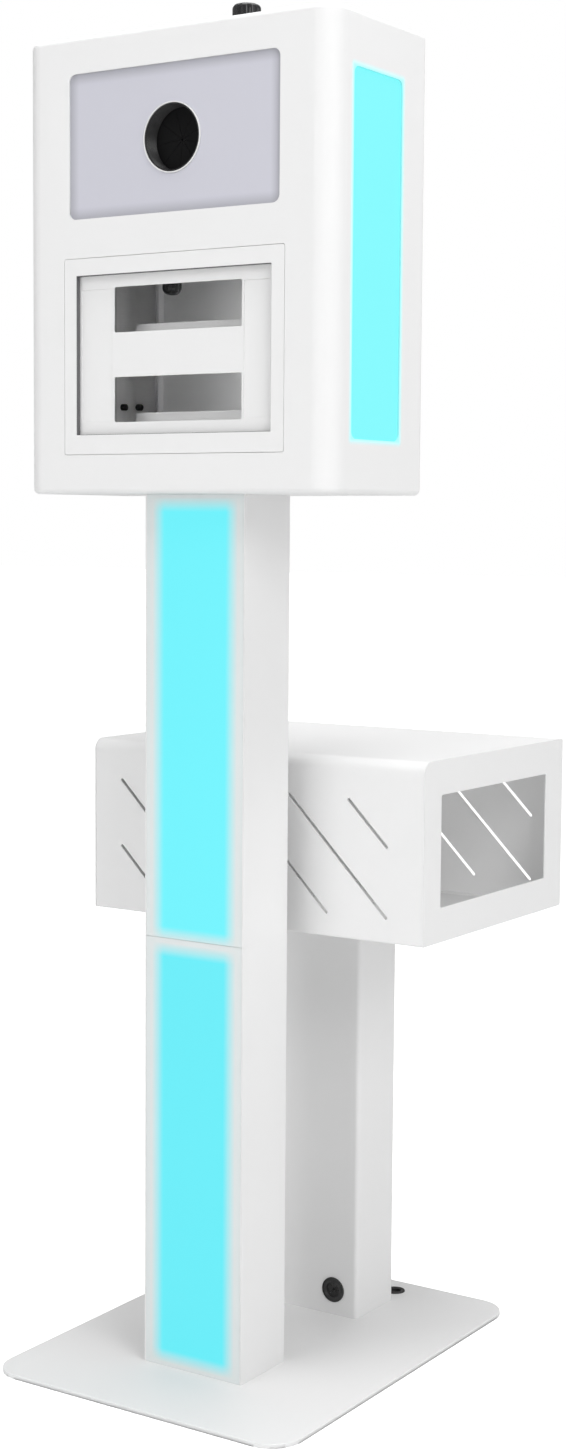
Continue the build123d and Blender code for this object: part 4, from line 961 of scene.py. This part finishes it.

# ------------------------------------------------------------ lights of the head
# Opal acrylic panes behind the windows, in folded trays: one unlit pane round the lens and
# one lit pane on each side. Behind its window's rim the front pane is painted darker, as painted
# shade of the frame.
opal_unlit = finish_of(
    "opal acrylic",
    colour=(0.64, 0.64, 0.71),
    worn=(0.75, 0.75, 0.8),
    drift_by=0.02,
    rough=0.3,
    rough_by=0.08,
    grain_scale=1500.0,
    relief=0.00003,
)
pane_low, pane_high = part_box("front_light_diffuser")
pane_rim = window_overlap + 0.004
pane_tree = opal_unlit.node_tree
pane_shade = place_group(
    pane_tree,
    glow_tree,
    Middle=(0, 0, middle_of("front_light_diffuser").z),
    Half_size=(pane_high.x - pane_rim, 1, (pane_high.z - pane_low.z) / 2 - pane_rim),
    Fade=0.022,
)
pane_paint = pane_tree.nodes["Principled BSDF"].inputs["Base Color"]
pane_plain = pane_paint.links[0].from_socket
# Painted shade: towards its rim the pane's colour darkens, as if the frame shaded it.
pane_painted_shade = (0.3, 0.3, 0.335)
pane_with_painted_shade = blend_colours(pane_tree, pane_shade.outputs["Glow"], pane_painted_shade, pane_plain)
wire(pane_tree, pane_with_painted_shade, pane_paint)
dress(opal_unlit, "front_light_diffuser")
for pane in ("left_light_diffuser", "right_light_diffuser"):
    pane_finish = lit_opal(
        "opal " + pane.split("_")[0],
        middle=(0, window_middle.y, window_middle.z),
        half_size=(1, 0.062, 0.228),
        fade=0.008,
        bright=(0.135, 0.9, 0.93),
        dim=(0.125, 0.89, 0.925),
        rim=(0.8, 0.84, 0.84),
    )
    dress(pane_finish, pane)

# ------------------------------------------------------------ lens port
# A black anodised aluminium tube behind the front pane, finished by a thin pale ring. Fine
# ridges inside it swallow stray light, and felt flaps in its middle close round a lens.
black_metal = finish_of(
    "black anodised aluminium",
    colour=(0.012, 0.012, 0.013),
    worn=(0.12, 0.12, 0.12),
    drift_by=0.2,
    rough=0.38,
    rough_by=0.1,
    grain_scale=1400.0,
    relief=0.00003,
)
backwards = Vector((0, 1, 0))
tube_low, tube_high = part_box("lens_tube")
tube_seat = middle_of("lens_tube")
tube_seat.y = tube_low.y
tube_outer = 0.042
tube_inner = 0.04
flange_r = (tube_high.x - tube_low.x) / 2
flange_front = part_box("front_light_tray")[1].y - tube_low.y
flange_back = flange_front + 0.002
tube_long = tube_high.y - tube_low.y
ridge_pitch = 0.0016
ridge_depth = 0.0006
first_ridge = 0.0012
tube_outline = [
    (tube_inner + 0.0004, 0),
    (tube_outer - 0.0003, 0),
    (tube_outer, 0.0004),
    (tube_outer, flange_front),
    (flange_r, flange_front),
    (flange_r, flange_back),
    (tube_outer, flange_back),
    (tube_outer, tube_long),
    (tube_inner, tube_long),
]
for ridge in reversed(range(int(tube_long / ridge_pitch) - 1)):
    ridge_at = first_ridge + ridge * ridge_pitch
    tube_outline.append((tube_inner + ridge_depth, ridge_at + ridge_pitch * 0.6))
    tube_outline.append((tube_inner, ridge_at))
shape = bmesh.new()
turned(shape, tube_outline, tube_seat, backwards, 96, ring=True)
finished("ridged_lens_tube", shape, black_metal, "stand", "black_metal", "lens_tube")
light_felt = finish_of(
    "black light felt",
    colour=(0.009, 0.009, 0.0095),
    worn=(0.02, 0.02, 0.02),
    drift_by=0.3,
    rough=0.95,
    rough_by=0.08,
    grain_scale=2600.0,
    relief=0.0002,
    specular=0.2,
)
# Two layers of flaps. A trace of lean turns the second one, so that no slits line up.
flap_sheet = 0.0012
flap_layer = flap_sheet + 0.0006
first_layer_at = 0.023
lean = 0.0001
shape = bmesh.new()
for layer, flaps in enumerate((9, 11)):
    flap_seat = tube_seat + backwards * (first_layer_at + layer * flap_layer)
    facing = Vector((layer * lean, -1, 0)).normalized()
    slit_flaps(shape, flap_seat, facing, tube_inner, flaps, flap_sheet, sag=0.0005)
finished("lens_felt_flaps", shape, light_felt, "stand", "black_rubber")
pale_rubber = finish_of(
    "pale moulded ring",
    colour=(0.82, 0.82, 0.82),
    worn=(0.88, 0.88, 0.88),
    drift_by=0.03,
    rough=0.45,
    rough_by=0.1,
    grain_scale=1400.0,
    relief=0.00005,
)
ring_low, ring_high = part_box("lens_ring")
ring_seat = Vector((tube_seat.x, ring_low.y, tube_seat.z))
ring_outer = (ring_high.x - ring_low.x) / 2
ring_inner = tube_outer + 0.0002
ring_long = ring_high.y - ring_low.y
ring_edge = 0.0004
ring_outline = [
    (ring_inner, ring_long),
    (ring_inner, ring_edge),
    (ring_inner + ring_edge, 0),
    (ring_outer - ring_edge, 0),
    (ring_outer, ring_edge),
    (ring_outer, ring_long),
]
shape = bmesh.new()
turned(shape, ring_outline, ring_seat, backwards, 96, ring=True)
finished("lens_trim_ring", shape, pale_rubber, "stand", "white_rubber", "lens_ring")

# ------------------------------------------------------------ grip knobs
# Black moulded knobs with fluted skirts on threaded studs: two under the camera shelf, one on
# the ball head, and a polished one on the roof.
knob_black = finish_of(
    "black glossy knob",
    colour=(0.011, 0.011, 0.012),
    worn=(0.09, 0.09, 0.09),
    drift_by=0.2,
    rough=0.24,
    rough_by=0.1,
    grain_scale=900.0,
    relief=0.00003,
    edge_radius=0.0004,
)


def grip_knob(node, name, body, slot, axis, stud_r, neck_r, neck, skirt, dome):
    """A fluted knob in its node's box: its stud lies behind the seat, its dome at the far end."""
    flutes = 8
    flute_depth = 0.13
    low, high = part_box(node)
    along = max(range(3), key=lambda index: abs(axis[index]))
    reach = max(high[index] - low[index] for index in range(3) if index != along) / 2
    head_length = neck + skirt + dome
    seat = middle_of(node)
    seat[along] = (high if axis[along] > 0 else low)[along]
    seat -= axis * head_length
    stud = high[along] - low[along] - head_length
    pitch = 0.00125
    thread_depth = 0.0004
    lip = 0.0008
    outline = []
    for turn in range(int(stud / pitch)):
        start = -stud + turn * pitch
        outline += [(stud_r - thread_depth, start), (stud_r, start + pitch / 2)]
    outline += [(stud_r, 0), (neck_r, 0), (neck_r, neck)]
    outline += [(reach - lip, neck), (reach, neck + lip)]
    outline += quarter_round(reach, head_length, dome, 9)
    outline += [(reach * 0.3, head_length), (reach * 0.28, head_length - 0.0006)]

    def fluted(radius, height, angle):
        if height < neck or radius <= neck_r:
            return radius
        wave = max(0.0, cos(flutes * angle)) ** 2
        return radius - flute_depth * reach * (radius / reach) ** 4 * wave

    shape = bmesh.new()
    turned(shape, outline, seat, axis, 96, fluted)
    finished(name, shape, knob_black, body, slot, node)


for side in ("left", "right"):
    grip_knob(
        f"{side}_shelf_knob",
        f"{side}_fluted_shelf_knob",
        f"{side}_shelf_knob",
        "black_plastic",
        Vector((0, 0, -1)),
        stud_r=0.003,
        neck_r=0.006,
        neck=0.007,
        skirt=0.008,
        dome=0.009,
    )
grip_knob(
    "ball_head_knob",
    "fluted_ball_head_knob",
    "ball_head_knob",
    "black_plastic",
    Vector((1, 0, 0)),
    stud_r=0.003,
    neck_r=0.006,
    neck=0.002,
    skirt=0.008,
    dome=0.004,
)
grip_knob(
    "top_knob",
    "fluted_top_knob",
    "top_knob",
    "black_gloss",
    Vector((0, 0, 1)),
    stud_r=0.004,
    neck_r=0.012,
    neck=0.004,
    skirt=0.014,
    dome=0.0057,
)

# ------------------------------------------------------------ ball head and power supply
# Satin aluminium: the camera platform with its ball, and the case of the power supply on the
# head's floor. The ball turns in a black anodised housing on the shelf.
satin_aluminium = finish_of(
    "satin aluminium",
    colour=(0.72, 0.72, 0.73),
    worn=(0.82, 0.82, 0.83),
    drift_by=0.08,
    rough=0.3,
    rough_by=0.12,
    grain_scale=1600.0,
    relief=0.00003,
    metallic=1.0,
)
smooth_copy(
    "ball_head_ball",
    "ball_and_platform",
    satin_aluminium,
    "camera_platform",
    "bare_aluminium",
)
smooth_copy("ball_head_housing", "ball_housing", black_metal, "ball_head", "black_metal")
dress(satin_aluminium, "led_power_supply")
